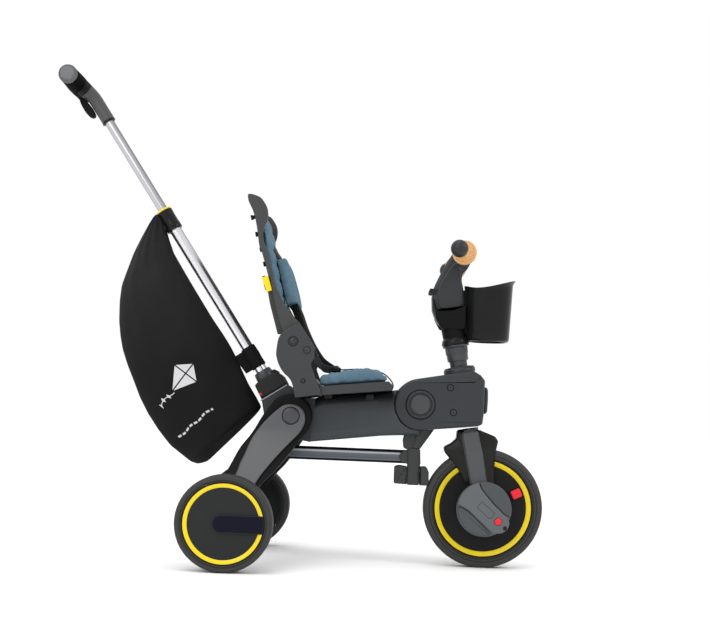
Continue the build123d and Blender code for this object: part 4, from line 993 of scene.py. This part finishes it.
def handlebar_pieces():
    """Folding stem with its panels, turned wood guards and ball grips."""
    arm = (curved([(-50, 483), (-51.5, 506), (-53, 530), (-55, 550), (-58, 566), (-60.3, 575), (-60, 584),
                   (-57.6, 592), (-51, 599), (-46.5, 606), (-44.5, 614)], 3, closed=False)
           + arc((-60, 618), 15.6, -12, 140, 18)
           + curved([(-76.5, 633), (-80.5, 631), (-86, 622), (-91.5, 613), (-97.5, 601), (-103.5, 589),
                     (-109, 577), (-113.5, 566.5), (-116.6, 557.5)], 3, closed=False)
           + between([(-116.6, 557.5), (-119.2, 540, 10), (-117.4, 514, 12), (-109, 493, 12), (-96, 480, 12),
                      (-50, 483)], 4))
    remade("stem_arm", plated(arm, -19.0, 19.0, front, 6.0, 5), "body_plastic", "handlebar", 34)
    panel = curved([(-76, 611), (-84, 603.5), (-92.5, 590), (-100, 577), (-106, 565), (-108.6, 553),
                    (-108, 538), (-105.5, 524), (-99, 517), (-84, 515.5), (-69, 516.5), (-60.5, 522),
                    (-57.5, 534), (-57.6, 548), (-59.6, 561), (-62, 575), (-62.6, 588), (-64.4, 600),
                    (-69, 608.6)], 3)
    latch = rounded([(-125.6, 547.4), (-110, 545.4), (-109, 556.8), (-124.6, 557.2)], 2.4)
    for name, s in SIDES:
        cover = plated(panel, 17.0, 20.4, mirrored(front, s), 3.4, 4, back_edge=0.0, depth=2.4)
        finished(f"stem_panel_{name}", cover, "stem_sheen", "handlebar", 40)
        finished(f"stem_latch_{name}", plated(latch, 12.0, 20.6, mirrored(front, s), 1.2, 3), "black_plastic",
                 "handlebar")

    # the ends are swept back outside the stem
    sweep = math.radians(15)
    dish = [(9.6, 16.4), (15.0, 16.0), (20.6, 17.0), (22.6, 18.6), (23.5, 21.4), (23.6, 25.4), (22.6, 28.2),
            (20.4, 29.4), (18.6, 29.6), (18.0, 30.8), (18.2, 33.6), (17.6, 39.0), (16.2, 40.4), (14.6, 41.0),
            (13.6, 43.0), (12.8, 50.0), (12.4, 58.0), (12.6, 63.0), (9.6, 63.0)]
    ball = [(16.7 * p.x, 76.6 + 16.6 * p.y) for p in arc((0, 0), 1.0, -56, 90, 15)[:-1]]
    grip = [(9.6, 62.0), (12.9, 62.0), (13.4, 63.4), *ball, (0, 93.2)]
    grips, guards = bmesh.new(), bmesh.new()
    for _, s in SIDES:
        bend = front(-59, 618, s * 90)
        along = (-math.sin(sweep), s * math.cos(sweep), 0)
        turned(dish, bend, along, 72, mesh=guards)
        turned(grip, bend, along, 56, mesh=grips)
    remade("wood_guards", guards, "wood", "handlebar")
    remade("grips", grips, "grip", "handlebar")


CUP_X = -3.0                         # the cup's axis, from the front axle
CUP_FLOOR, CUP_FOOT, CUP_SHOULDER = 462.5, 455.0, 461.0


def cup_rim(angle):
    """Height of the cup's rim: it rises to the front, and a little to the back."""
    ahead = math.cos(angle)
    return 557.5 + 21.5 * ((1 + ahead) / 2) ** 1.9 + 8.0 * max(0.0, -ahead) ** 3.6


def cup_radius(z):
    """Radius of the cup's wall at height z."""
    return 43.5 + (z - 462) * 0.035


def cup_pieces():
    """Cup with its curved rim, and the saddle that clips it to the stem."""
    count, levels = 96, 26
    angles = [2 * math.pi * i / count for i in range(count)]
    rings = [[(33.0, 459.5)] * count, [(36.2, 458.5)] * count]
    for k in range(7):
        a = math.pi / 2 * k / 6
        rings.append([(37.2 + 6 * math.sin(a), CUP_FOOT + 6 * (1 - math.cos(a)))] * count)
    for k in range(1, levels + 1):
        t = k / levels
        ring = []
        for a in angles:
            z = CUP_SHOULDER + (cup_rim(a) - CUP_SHOULDER) * t
            lip = 4.6 * max(0.0, (t - 0.93) / 0.07) ** 1.5 * (0.25 + 0.75 * max(0.0, math.cos(a)) ** 0.5)
            ring.append((cup_radius(z) + lip, z))
        rings.append(ring)
    for dr, dz in ((-0.6, 1.0), (-2.2, 1.2), (-3.2, 0.4)):
        rings.append([(r + dr, z + dz) for r, z in ring])
    for k in range(levels, 0, -2):
        rise = [(cup_rim(a) - CUP_SHOULDER) * k / levels for a in angles]
        rings.append([(cup_radius(CUP_SHOULDER + dz) - 3.4, CUP_SHOULDER + dz * 0.985) for dz in rise])
    rings.append([(37.0, CUP_FLOOR)] * count)

    def placed(radius, z, angle):
        back = 1.06 if math.cos(angle) < 0 else 1.0     # the cup is a little longer to the back
        return front(CUP_X + radius * math.cos(angle) * back, z, radius * math.sin(angle))

    cup = lofted([[placed(r, z, a) for (r, z), a in zip(ring, angles)] for ring in rings])
    remade("cup_holder", cup, "gloss_black", "cup_holder", 42)
    saddle = rounded([(-51.0, 470, 2), (-41.0, 470, 3), (-41.5, 556, 3), (-55.5, 558, 2), (-55.0, 550, 2),
                      (-51.0, 510, 3)], 4, 4)
    finished("cup_clip", plated(saddle, -13.0, 13.0, front, 1.4, 3), "leg_black", "cup_holder")


# ---------------------------------------------------------------- seat brackets, pan and backrest
BRACKET_FACE = 124.3                 # outer face of a seat bracket
RECLINE_PIVOT = (107, 434)


def bracket_pieces():
    """Side plates that carry the backrest, with their bolts, each in a black ring painted as the shade of its
    recess.
    """
    outline = (curved([(111, 466), (98, 460), (87, 452), (81, 443.5), (77.6, 434), (75.2, 411), (77, 400),
                       (80.5, 390), (86, 379.5), (93, 371), (99, 366), (104, 360.5), (107.5, 354),
                       (110.5, 345)], 3, closed=False)
               + between([(110.5, 345), (114.5, 326, 3), (165, 334, 3), (162, 344, 8), (150, 371, 10),
                          (142, 391, 8), (148.4, 403, 6), (149, 425, 8), (119.5, 467, 4), (111, 466)], 5))
    rim = [(10.4, -0.4), (10.4, 0.2), (9.8, 0.4), (7.6, 0.1), (7.2, -0.8), (0, -0.9)]
    pivot_bolt = [(6.0, -1.4), (5.9, 0.6), (5.2, 2.0), (3.8, 2.8), (2.5, 3.0), (2.4, 1.4), (0, 1.4)]
    hexed = lambda r, t, a: (r * (0.9 + 0.1 * math.cos(6 * a)) if r < 2.6 else r, t)
    bolts = bmesh.new()
    for name, s in SIDES:
        out = (0, s, 0)
        plate = plated(outline, 115.3, BRACKET_FACE, mirrored(rear, s), 1.6, 3, back_edge=0.6)
        remade(f"seat_bracket_{name}", plate, "seat_plastic", "frame", 34)
        pivot = rear(*RECLINE_PIVOT, s * BRACKET_FACE)
        # painted shade: a black ring round the pivot bolt, standing for its recess's shade
        finished(f"recline_bolt_seat_{name}", turned(rim, pivot, out, 44), "black_plastic", "frame")
        turned(pivot_bolt, pivot, out, 36, hexed, mesh=bolts)
        for index, (x, z, seat, r) in enumerate(((134.0, 418.0, 7.6, 4.4), (129.0, 359.0, 5.2, 3.4))):
            spot = rear(x, z, s * BRACKET_FACE)
            # painted shade: a black ring round each bolt, standing for its recess's shade
            ring = [(seat, -0.4), (seat, 0.2), (seat - 0.5, 0.4), (seat - 1.6, 0.1), (seat - 1.9, -0.6),
                    (0, -0.7)]
            finished(f"plate_bolt_seat_{name}_{index}", turned(ring, spot, out, 32), "black_plastic", "frame")
            head = [(r, -1.0), (r * 0.97, 0.6), (r * 0.8, 1.4), (r * 0.42, 1.7), (r * 0.38, 0.6), (0, 0.6)]
            turned(head, spot, out, 24, mesh=bolts)
    remade("bracket_bolts", bolts, "dark_steel", "frame")


SHELL_HALF = 106.0                   # half width of the backrest's panel


def shell_pieces():
    """Backrest shell with its wings and cover hooks, and the recline lever."""
    wing = curved([(7.8, 712), (10, 714.6), (18, 714.2), (32, 709), (39, 701.5), (45, 692), (47.6, 683),
                   (48.4, 673), (46.4, 661), (41.6, 651), (39.8, 641), (41.8, 626), (48, 608), (55, 588),
                   (60.5, 566), (65, 548), (75, 527), (83.5, 511), (91.5, 498), (106, 481), (117, 470),
                   (122, 461), (121.6, 452), (117, 446.4), (98, 446.2), (89.5, 447.5), (86, 453), (80, 466),
                   (75.5, 480), (70.4, 497), (66, 515), (61.4, 536), (57, 555.5), (51.4, 571), (45.5, 586),
                   (41, 601), (37, 608), (33.6, 616), (31.2, 630), (29.6, 646), (25.6, 662), (21, 678),
                   (14, 692), (9.2, 702)], 2)
    parts = [plated(wing, 104.9, 114.7, mirrored(rear, s), 2.4, 4, back_edge=1.0) for _, s in SIDES]
    spine = [(14, 706), (20, 690), (26, 672), (30, 654), (33, 636), (37, 620), (43, 602), (50, 580),
             (56.5, 558), (62, 536), (67, 516), (73, 497), (80, 478), (87, 462), (93, 449)]
    sweep = [math.radians(-90 + 7.5 * j) for j in range(25)]
    rings = []
    for x, z in spine:
        lean = 2.0 if (x, z) == spine[0] else 0.0
        inside = [rear(x - 7.0 * math.cos(a) ** 0.6 + lean, z, SHELL_HALF * math.sin(a)) for a in sweep]
        outside = [rear(x - 7.0 * math.cos(a) ** 0.6 + 4.0, z + 0.6, SHELL_HALF * math.sin(a))
                   for a in reversed(sweep)]
        rings.append(inside + outside)
    parts.append(lofted(rings))
    remade("backrest_shell", gathered(parts), "shell_plastic", "backrest", 40)
    flange = curved([(54, 560), (53.2, 545), (53.4, 527), (58, 505), (63.5, 486), (69.5, 466), (74.8, 448)],
                    3, closed=False)
    flange += [Vector(p) for p in ((92, 448), (84, 470), (76, 494), (68, 520), (62, 545), (58, 560))]
    knob = [(0, -5.0), (3.0, -5.0), (3.8, 1.0), (4.8, 3.6), (5.2, 5.2), (4.4, 6.4), (0, 6.6)]
    for name, s in SIDES:
        rib = plated(flange, 88.0, 105.0, mirrored(rear, s), 1.4, 3)
        finished(f"shell_flange_{name}", rib, "seat_plastic", "backrest")
        for index, (x, z) in enumerate(((20.5, 672), (30.5, 640), (40.0, 611), (48.0, 583))):
            hook = turned(knob, rear(x, z, s * 101.0), (-1, 0, -0.25), 24)
            finished(f"cover_hook_{name}_{index}", hook, "black_plastic", "backrest")
    bar = rounded([(40, 558, 2), (47, 560, 2), (54.5, 534, 2), (47.5, 531.5, 2)], 2, 4)
    finished("recline_lever_bar", plated(bar, -105.0, 105.0, rear, 1.6, 3), "black_plastic", "recline_lever")
    tip = rounded([(40.6, 555, 2), (53, 559, 2), (61.8, 531, 2), (51.6, 527.5, 2)], 2, 4)
    lever = bmesh.new()
    for _, s in SIDES:
        plated(tip, 105.4, 112.2, mirrored(rear, s), 1.2, 3, mesh=lever)
    remade("recline_lever", lever, "yellow", "recline_lever")


FILL_PRESSURE, FILL_FRAMES = 4.0, 20
HEADREST = 600.0                     # height from which the backrest's cushion draws in
SEAT_MIDDLE, SEAT_BACK = 228, 185    # the seat's cushion spreads from its middle and is fuller at its back


def filled(node, shrink, cap, voxel, shape):
    """A filled cover: the node's own solid drawn in a little, remeshed and blown up as cloth. shape then
    sews it: it moves each point, given in millimetres with its outward normal."""
    source = NODES[node]
    mesh = bmesh.new()
    mesh.from_mesh(source.data)
    bmesh.ops.remove_doubles(mesh, verts=mesh.verts, dist=0.00002)
    start = bpy.data.meshes.new(node + "_start")
    mesh.to_mesh(start)
    mesh.free()
    piece = bpy.data.objects.new(node + "_start", start)
    piece.matrix_world = source.matrix_world.copy()
    studio_scene = bpy.context.scene
    studio_scene.collection.objects.link(piece)

    def applied():
        done = bpy.data.meshes.new_from_object(piece.evaluated_get(bpy.context.evaluated_depsgraph_get()))
        piece.modifiers.clear()
        piece.data = done

    remesh = piece.modifiers.new("remesh", "REMESH")
    remesh.mode = "VOXEL"
    remesh.voxel_size = voxel * MM
    relax = piece.modifiers.new("relax", "SMOOTH")
    relax.iterations = 3
    applied()
    for vert in piece.data.vertices:
        vert.co -= vert.normal * (shrink * MM)
    rest = [vert.co.copy() for vert in piece.data.vertices]
    cloth = piece.modifiers.new("fill", "CLOTH")
    cloth.settings.quality = 5
    cloth.settings.use_pressure = True
    cloth.settings.uniform_pressure_force = FILL_PRESSURE
    cloth.settings.effector_weights.gravity = 0.0
    cloth.point_cache.frame_start, cloth.point_cache.frame_end = 1, FILL_FRAMES
    for number in range(1, FILL_FRAMES + 1):
        studio_scene.frame_set(number)
    applied()
    for vert, old in zip(piece.data.vertices, rest):
        shift = vert.co - old
        if shift.length > cap * MM:
            vert.co = old + shift.normalized() * (cap * MM)
    studio_scene.frame_set(1)
    piece.data.transform(piece.matrix_world)
    data = piece.data
    bpy.data.objects.remove(piece)
    normals = [vert.normal.copy() for vert in data.vertices]
    for vert, normal in zip(data.vertices, normals):
        place = (vert.co - Vector((REAR_AXLE, 0, 0))) / MM
        vert.co += shape(place, normal) * MM
    return data


def groove(value, pitch, width, depth):
    """Sewn channel: a dip of the given depth each pitch."""
    off = abs((value / pitch) % 1.0 - 0.5) * pitch
    return -depth * math.exp(-(off / width) ** 2)


def panel_face(z):
    """How far forward the backrest's panel stands at height z, below the headrest."""
    line = ((42.5, 603), (58.5, 556), (67.5, 515), (84, 480), (92, 440))
    for (x0, z0), (x1, z1) in zip(line, line[1:]):
        if z1 <= z <= z0:
            return x0 + (x1 - x0) * (z0 - z) / (z0 - z1)
    return 88


def cushion_pieces():
    """Seat cushion, backrest cushion and shoulder pads, each a filled cover."""
    def seat(p, n):
        rows = groove(p.x + 3, 21.0, 3.4, 3.4)
        sides = groove(p.y + 27, 54.0, 3.0, 2.2) if n.z > 0.6 else 0.0
        sewn = rows + sides if n.z > -0.4 else 0.0
        lift = 1.8 * max(0.0, n.z) + (2.0 if n.z > 0.2 and p.x < SEAT_BACK else 0.0)
        return n * sewn + Vector(((p.x - SEAT_MIDDLE) * 0.055, 0, lift))

    def back(p, n):
        rows = groove(p.z, 30.0, 3.6, 3.0) if n.x > -0.3 else 0.0
        above = max(0.0, p.z - HEADREST)
        draw = -above * 0.048 if n.x > 0.2 else 0.0
        if p.z < HEADREST:
            draw += max(0.0, panel_face(p.z) + 1.5 - p.x)
        return n * rows + Vector((draw, 0, -above * 0.06))

    def pad(p, n):
        return Vector((0, 0, 0))

    for node, body, shrink, cap, voxel, shape in (
            ("seat_cushion", "frame", 1.6, 3.4, 5.0, seat),
            ("backrest_cushion", "backrest", 1.6, 3.6, 5.0, back),
            ("shoulder_pads", "backrest", 1.2, 3.0, 4.0, pad)):
        piece = remade(node, filled(node, shrink, cap, voxel, shape), "textile", body, 70)
        again = piece.modifiers.new("smooth", "SUBSURF")
        again.levels = again.render_levels = 1


# ---------------------------------------------------------------- harness
def harness_pieces():
    """Shoulder, chest, waist and crotch straps, strap slides and buckle."""
    for name, s in SIDES:
        y = 50.0 * s
        over = [rear(46, 634, y), rear(56.5, 618, y), rear(70, 599, y)]
        below = [rear(100, 511, y), rear(107, 496, y * 0.98), rear(119, 466, y * 0.9),
                 rear(137, 432, y * 0.62), rear(157, 405, y * 0.34), rear(178, 391, y * 0.16)]
        finished(f"shoulder_strap_{name}", strap(over, 24, 4.0, (0.25, 1, 0)), "webbing", "backrest")
        lower = strap(below, 22, 2.0, (0.62, s * 0.62, 0.2))
        piece = finished(f"chest_strap_{name}", lower, "webbing", None)
        rear(110, 490)
        rear(150, 414)
        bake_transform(piece)
        waist = [rear(144, 421, 112 * s), rear(150, 404, 104 * s), rear(160, 391, 84 * s),
                 rear(171, 387, 52 * s), rear(181, 386.5, 16 * s)]
        finished(f"waist_strap_{name}", strap(waist, 13, 2.0, (0.6, 0, 1)), "webbing", "frame")
        slide = bmesh.new()
        for k in (-1, 0, 1):
            tube([rear(150 + k * 3.2, 415 - k * 5.2, s * 119), rear(150 + k * 3.2, 415 - k * 5.2, s * 92)],
                 1.6, mesh=slide, per=1, sides=10)
        finished(f"strap_slide_{name}", slide, "black_plastic", "frame")
    crotch = [rear(186, 386.5, 0), rear(210, 388.2, 0), rear(232, 390.0, 0), rear(258, 389.6, 0),
              rear(276, 386, 0), rear(290, 379.0, 0), rear(302, 366.0, 0), rear(304, 355, 0),
              rear(298, 345, 0)]
    finished("crotch_strap", strap(crotch, 26, 1.8, (0, 1, 0)), "webbing", "frame")
    buckle = rounded([(172, 381, 3), (197, 382, 3), (198, 391, 4), (188, 394, 5), (172, 393, 4)], 4, 4)
    finished("harness_buckle", plated(buckle, -19.0, 19.0, rear, 3.5, 4), "black_plastic", "frame")
    button = arc((185, 0), 7.5, 0, 348.75, 31)
    press = plated(button, 391.0, 395.0, lambda u, v, w: rear(u, w, v), 1.2, 3)
    finished("harness_buckle_press", press, "webbing", "frame")


# ---------------------------------------------------------------- push bar
MAST_UP = Vector((-math.sin(MAST_TILT), 0, math.cos(MAST_TILT)))
MAST_OUT = Vector((math.cos(MAST_TILT), 0, math.sin(MAST_TILT)))


def mast(n, t, y=0.0):
    """Place by millimetres forward of the push bar's axis, along it, and across."""
    return MAST_FOOT + MAST_OUT * (n * MM) + MAST_UP * (t * MM) + Vector((0, y * MM, 0))


def handle_moulding():
    """The push grip's hub: grey moulding, with the rubber drawn over its upper end to a round edge."""
    f = Finish("handle_moulding")
    fine = f.noise(900.0, 2.0, 0.6)
    centre = mast(-9.0, 733)
    far = rear(-374, 959) - centre
    upper = (f.x - centre.x) * far.x + (f.z - centre.z) * far.z
    rubber = (f.reach(centre) < 0.0205).math("MAXIMUM", upper > 0.0)
    return f.surface(f.mix(rubber, (0.064, 0.064, 0.066), RUBBER_BLACK), rubber * 0.36 + 0.42,
                     bump=(fine, 0.00012, 0.3), gleam=0.3)


finishes["handle_moulding"] = handle_moulding()


def mast_pieces():
    """Push bar: socket block, collar, grip with its rubber and end caps, and trigger."""
    base = rounded([(-29, 0.5, 3), (31.5, 0.5, 3), (32.5, 19, 6), (29, 28.5, 5), (20, 36.4, 6),
                    (-12, 36.4, 5), (-26, 34, 6)], 5, 5)
    remade("mast_base", plated(base, -28.0, 28.0, mast, 3.4, 4), "black_plastic", "mast_lower", 34)
    mouth = [(12.1, 35), (19.0, 35.2), (19.6, 36.6), (18.8, 44.0), (17.6, 50.8), (16.8, 52.2), (12.1, 52.6)]
    finished("mast_mouth", turned(mouth, mast(0, 0), MAST_UP, 56), "collar_grey", "mast_lower")
    sight = [(0, 27.6), (2.6, 27.6), (2.6, 28.4), (0, 28.7)]
    for name, s in SIDES:
        dot = turned(sight, mast(-24.5, 12), (0, s, 0), 20)
        finished(f"mast_sight_{name}", dot, "red", "mast_lower")
    key = rounded([(17, 33), (27, 28), (29.5, 33.0), (24, 42.0), (17, 43.0)], 2.5, 4)
    finished("mast_release", plated(key, -11.0, 11.0, mast, 2.0, 3), "black_plastic", "mast_lower")
    lower = [(12.1, 387), (15.4, 387), (16.3, 388.2), (16.4, 400), (15.9, 402), (15.9, 420), (16.4, 422),
             (16.4, 430), (12.1, 430)]
    remade("mast_collar", turned(lower, mast(0, 0), MAST_UP, 64), "gloss_black", "mast_lower")
    band = [(9.7, 430), (15.2, 430), (15.4, 430.6), (15.4, 433.0), (14.6, 433.9), (9.7, 433.9)]
    finished("mast_collar_ring", turned(band, mast(0, 0), MAST_UP, 64), "yellow", "mast_lower")

    hub = []
    for t, n, rn, ry in ((644.5, 0, 12.6, 12.6), (645.2, 0, 13.5, 13.5), (690, 0, 13.6, 13.6),
                         (702, -0.8, 13.9, 14.0), (712, -3.0, 14.6, 14.8), (722, -6.5, 15.8, 15.8),
                         (731, -10.0, 17.4, 16.6), (739, -13.2, 19.0, 17.0), (747, -15.8, 19.2, 17.0),
                         (754, -17.0, 16.6, 16.6), (759.5, -17.6, 12.0, 15.6), (762.2, -17.8, 6.0, 13.6)):
        hub.append([mast(n + rn * math.cos(a), t, ry * math.sin(a))
                    for a in (2 * math.pi * k / 48 for k in range(48))])
    remade("push_grip", lofted(hub), "handle_moulding", "mast_upper", 50)
    cuff = [(9.8, 642.6), (13.2, 642.8), (13.9, 643.4), (13.9, 645.6), (13.6, 646.2), (9.8, 646.2)]
    finished("push_grip_cuff", turned(cuff, mast(0, 0), MAST_UP, 56), "gloss_black", "mast_upper")
    sleeve = [(15.0, 1.0), (19.6, 1.4), (20.0, 3.0), (19.6, 20.0), (18.6, 50.0), (18.5, 66.0), (18.2, 67.6),
              (16.0, 68.0)]
    cap = [(16.0, 66.8), (18.2, 67.6), (18.7, 68.6), (18.5, 70.2), (17.4, 71.3), (13.0, 72.0), (6.0, 72.4),
           (0, 72.5)]
    grip_place = mast(-15, 743)
    for name, s in SIDES:
        rubber = turned(sleeve, grip_place, (0, s, 0), 72)
        finished(f"push_grip_rubber_{name}", rubber, "push_rubber", "mast_upper")
        end = turned(cap, grip_place, (0, s, 0), 72)
        finished(f"push_grip_end_{name}", end, "cap_gloss", "mast_upper")
    paddle = curved([(-14.6, 690), (-16.5, 702), (-20.5, 711.5), (-26.0, 713), (-29.2, 704), (-30.2, 692),
                     (-29.6, 680), (-27.0, 671.0), (-22.6, 667.4), (-17.4, 667.8), (-14.8, 673.5),
                     (-14.4, 682)], 3)
    remade("trigger", plated(paddle, -8.6, 8.6, mast, 3.2, 4), "leg_black", "trigger", 40)


# ---------------------------------------------------------------- storage bag
BAG = [(-178, 686), (-170.5, 668), (-162, 640), (-150, 609), (-110, 546), (-69, 484), (-27, 424), (11, 352),
       (29, 324), (40, 305), (33, 294), (3, 261), (-31, 226), (-64, 192), (-80, 184), (-100, 190),
       (-142, 221), (-168, 252), (-190, 284), (-207, 315), (-221, 348), (-235, 380), (-246, 411),
       (-251.5, 437), (-255.5, 468), (-256, 508), (-253, 541), (-242.5, 573), (-231.5, 606), (-216, 640),
       (-199, 674), (-189, 687)]
BAG_HALF = 54.0                      # half the bag's greatest thickness


def bag_cloth():
    """Black cloth with a silver print: a kite with its tail, and a row of dashes below; painted shade makes it
    darker towards its lower end.
    """
    f = Finish("bag_cloth")
    weave = f.noise(700.0, 2.0, 0.6)
    cloud = f.noise(11.0, 3.0)

    def turned_place(x, z, degrees):
        a = math.radians(degrees)
        dx, dz = (f.x - (REAR_AXLE + x * MM)) / MM, (f.z - z * MM) / MM
        return dx * math.cos(a) + dz * math.sin(a), dz * math.cos(a) - dx * math.sin(a)

    u, v = turned_place(-108, 366, -35)
    slant = abs(u) / 27.0 + v.math("MAXIMUM", 0.0) / 24.0 + (v * -1.0).math("MAXIMUM", 0.0) / 44.0
    kite = (slant < 1.0) * (abs(u) > 1.3) * (abs(v) > 1.3)
    swing = (v * 0.11).sin() * 5.0
    string = (abs(u - swing) < 0.9) * (v < -44.0) * (v > -84.0)
    bead = abs(u - swing) / 6.5 + abs((v + 51.0) % 13.0 - 6.5) / 3.2 < 1.0
    beads = bead * (v < -49.0) * (v > -84.0)
    a, b = turned_place(-87, 268, 42)
    dashes = (abs(a) < 47.0) * (abs(b + (a * 0.16).sin() * 1.6) < 2.1) * (((a + 100.0) % 11.0) < 7.4)
    silver = (kite + string + beads + dashes).math("MINIMUM", 1.0) * (weave.ramp(0.28, 0.42) * 0.15 + 0.85)
    # painted shade: the cloth is darker below 0.6 m and darkest below 0.3 m
    painted_shade_by_height = f.z.ramp(0.30, 0.60)
    cloth = f.mix(painted_shade_by_height + (cloud - 0.5) * 0.5, (0.0052, 0.0052, 0.0056), (0.0150, 0.0150, 0.0160))
    return f.surface(f.mix(silver, cloth, (0.60, 0.60, 0.61)), silver * -0.28 + 0.78 + (weave - 0.5) * 0.1,
                     bump=(weave * 0.6 + cloud * 0.4, 0.0004, 0.35), gleam=0.15)


finishes["bag_cloth"] = bag_cloth()


def bag_half(across, along, down, side, full):
    """Half thickness of the bag at a share across: full in the middle, with folds that hang from its top."""
    swell = math.sin(math.pi * across) ** 0.62 * (0.82 + 0.18 * math.sin(math.pi * across ** 0.8))
    fold = 3.4 * math.exp(-down / 150.0) * math.sin(9.0 * across * math.pi + down * 0.011 + side)
    fold += 1.6 * math.sin(down * 0.031 + across * 5.0 + side) * math.exp(-((across - 0.25) / 0.3) ** 2)
    fold += 1.2 * math.sin(along * 0.055 + across * 11.0)
    return max(1.2, max(1.4, full * swell) + fold * math.sin(math.pi * across))


def bag_pieces():
    """Hanging bag with its edge piping, its sleeve round the tube, and its hanger."""
    from_foot = [(rear(x, z) - MAST_FOOT) / MM for x, z in BAG]
    local = [Vector((p.dot(MAST_OUT), p.dot(MAST_UP))) for p in from_foot]
    low, high = min(p.y for p in local), max(p.y for p in local)
    rows, columns = 84, 40
    shares = [j / columns for j in range(columns)]
    rings = []
    for k in range(rows + 1):
        share = k / rows
        t = low + 0.4 + (high - low - 0.8) * (share - 0.035 * math.sin(2 * math.pi * share))
        hits = sorted(a.x + (b.x - a.x) * (t - a.y) / (b.y - a.y)
                      for a, b in zip(local, local[1:] + local[:1]) if (a.y - t) * (b.y - t) < 0)
        ahead, width = hits[-1], hits[-1] - hits[0]
        full = BAG_HALF * min(1.0, width / 150.0) ** 0.75
        ring = []
        for side, run in ((1, shares), (-1, [1 - u for u in shares])):
            for u in run:
                across = (1 - math.cos(math.pi * u)) / 2
                ring.append(mast(ahead - width * across, t, side * bag_half(across, t, high - t, side, full)))
        rings.append(ring)
    bag = remade("storage_bag", lofted(rings), "bag_cloth", "mast_lower", 70)
    again = bag.modifiers.new("smooth", "SUBSURF")
    again.levels = again.render_levels = 1
    edge = [mast(p.x - 1.5, p.y) for p in local[1:9]]
    finished("bag_edge", tube(edge, 1.6, per=5, sides=8), "black_fabric", "mast_lower")
    sleeve = [(12.15, 62), (14.6, 62), (15.2, 63.2), (15.0, 76), (15.4, 90), (15.1, 106.8), (14.4, 108),
              (12.15, 108)]
    ruffled = lambda r, t, a: (r + (0.35 * math.sin(5 * a + t * 0.2) if r > 14 else 0), t)
    finished("bag_sleeve", turned(sleeve, mast(0, 0), MAST_UP, 40, ruffled), "black_fabric", "mast_lower")
    web = rounded([(-30, 64), (-11, 64), (-11, 106), (-34, 106)], 2)
    finished("bag_sleeve_web", plated(web, -1.6, 1.6, mast, 0.6, 2), "black_fabric", "mast_lower")
    hanger = rounded([(-21, 398), (-10.5, 394), (-11.0, 424), (-17.5, 425)], 2)
    finished("bag_hanger", plated(hanger, -7.0, 7.0, mast, 1.4, 3), "black_plastic", "mast_lower")


# ---------------------------------------------------------------- the whole tricycle
for name, s in SIDES:
    rear_wheel_pieces(name, s)
front_wheel_pieces()
leg_pieces()
frame_pieces()
front_end_pieces()
fender_pieces()
crank_pieces()
column_pieces()
handlebar_pieces()
cup_pieces()
bracket_pieces()
shell_pieces()
cushion_pieces()
harness_pieces()
mast_pieces()
bag_pieces()


# ---------------------------------------------------------------- studio
scene = bpy.context.scene
scene.view_settings.view_transform = "Standard"

# a big soft ceiling that falls off towards the horizon, and white where nothing stands
HORIZON, CEILING = 0.30, 1.30
WHITE = (1.0, 1.0, 1.0)
world = bpy.data.worlds.new("studio")
scene.world = world
world.use_nodes = True
world.node_tree.nodes.clear()
sky = Nodes(world.node_tree)
height = sky.add("ShaderNodeSeparateXYZ", {}, sky.add("ShaderNodeTexCoord", {}, out="Generated"), out="Z")
glow = sky.add("ShaderNodeMapRange", {}, height, 0.0, 0.9, HORIZON, CEILING)
soft = sky.add("ShaderNodeBackground", {}, WHITE, glow)
plain = sky.add("ShaderNodeBackground", {}, WHITE, 1.0)
rays = sky.add("ShaderNodeLightPath", {}).socket.node.outputs
seen, passed, reflected = (Signal(sky, rays[f"Is {kind} Ray"]) for kind in ("Camera", "Transmission",
                                                                            "Glossy"))
bare = seen.math("MAXIMUM", passed).math("MAXIMUM", reflected)
backdrop = sky.add("ShaderNodeMixShader", {}, bare, soft, plain)
sky.plug(world.node_tree.nodes.new("ShaderNodeOutputWorld").inputs["Surface"], backdrop)


def lamp(name, kind, place, aim, energy, size=None, angle=None):
    """A lamp at a place, aimed at another. The camera doesn't see it."""
    data = bpy.data.lights.new(name, kind)
    data.energy = energy
    if kind == "AREA":
        data.shape = "RECTANGLE"
        data.size, data.size_y = size
    else:
        data.angle = math.radians(angle)
    light = bpy.data.objects.new(name, data)
    scene.collection.objects.link(light)
    light.location = place
    light.rotation_euler = (Vector(aim) - Vector(place)).to_track_quat("-Z", "Y").to_euler()
    light.visible_camera = False


lamp("overhead", "SUN", (-0.5, -0.6, 3.0), (0, 0, 0), 0.55, angle=35)
lamp("nose_box", "AREA", (2.3, -1.1, 1.9), (0.3, 0, 0.35), 14, size=(0.8, 0.8))
lamp("front_box", "AREA", (-1.3, -2.2, 1.9), (0.1, 0, 0.4), 20, size=(1.6, 1.6))

floor_mesh = bpy.data.meshes.new("floor")
floor_mesh.from_pydata([(-20, -20, 0), (20, -20, 0), (20, 20, 0), (-20, 20, 0)], [], [(0, 1, 2, 3)])
floor = bpy.data.objects.new("floor", floor_mesh)
scene.collection.objects.link(floor)
floor_mesh.materials.append(Finish("floor_white").surface((0.97, 0.97, 0.97), 0.9, gleam=0.0))
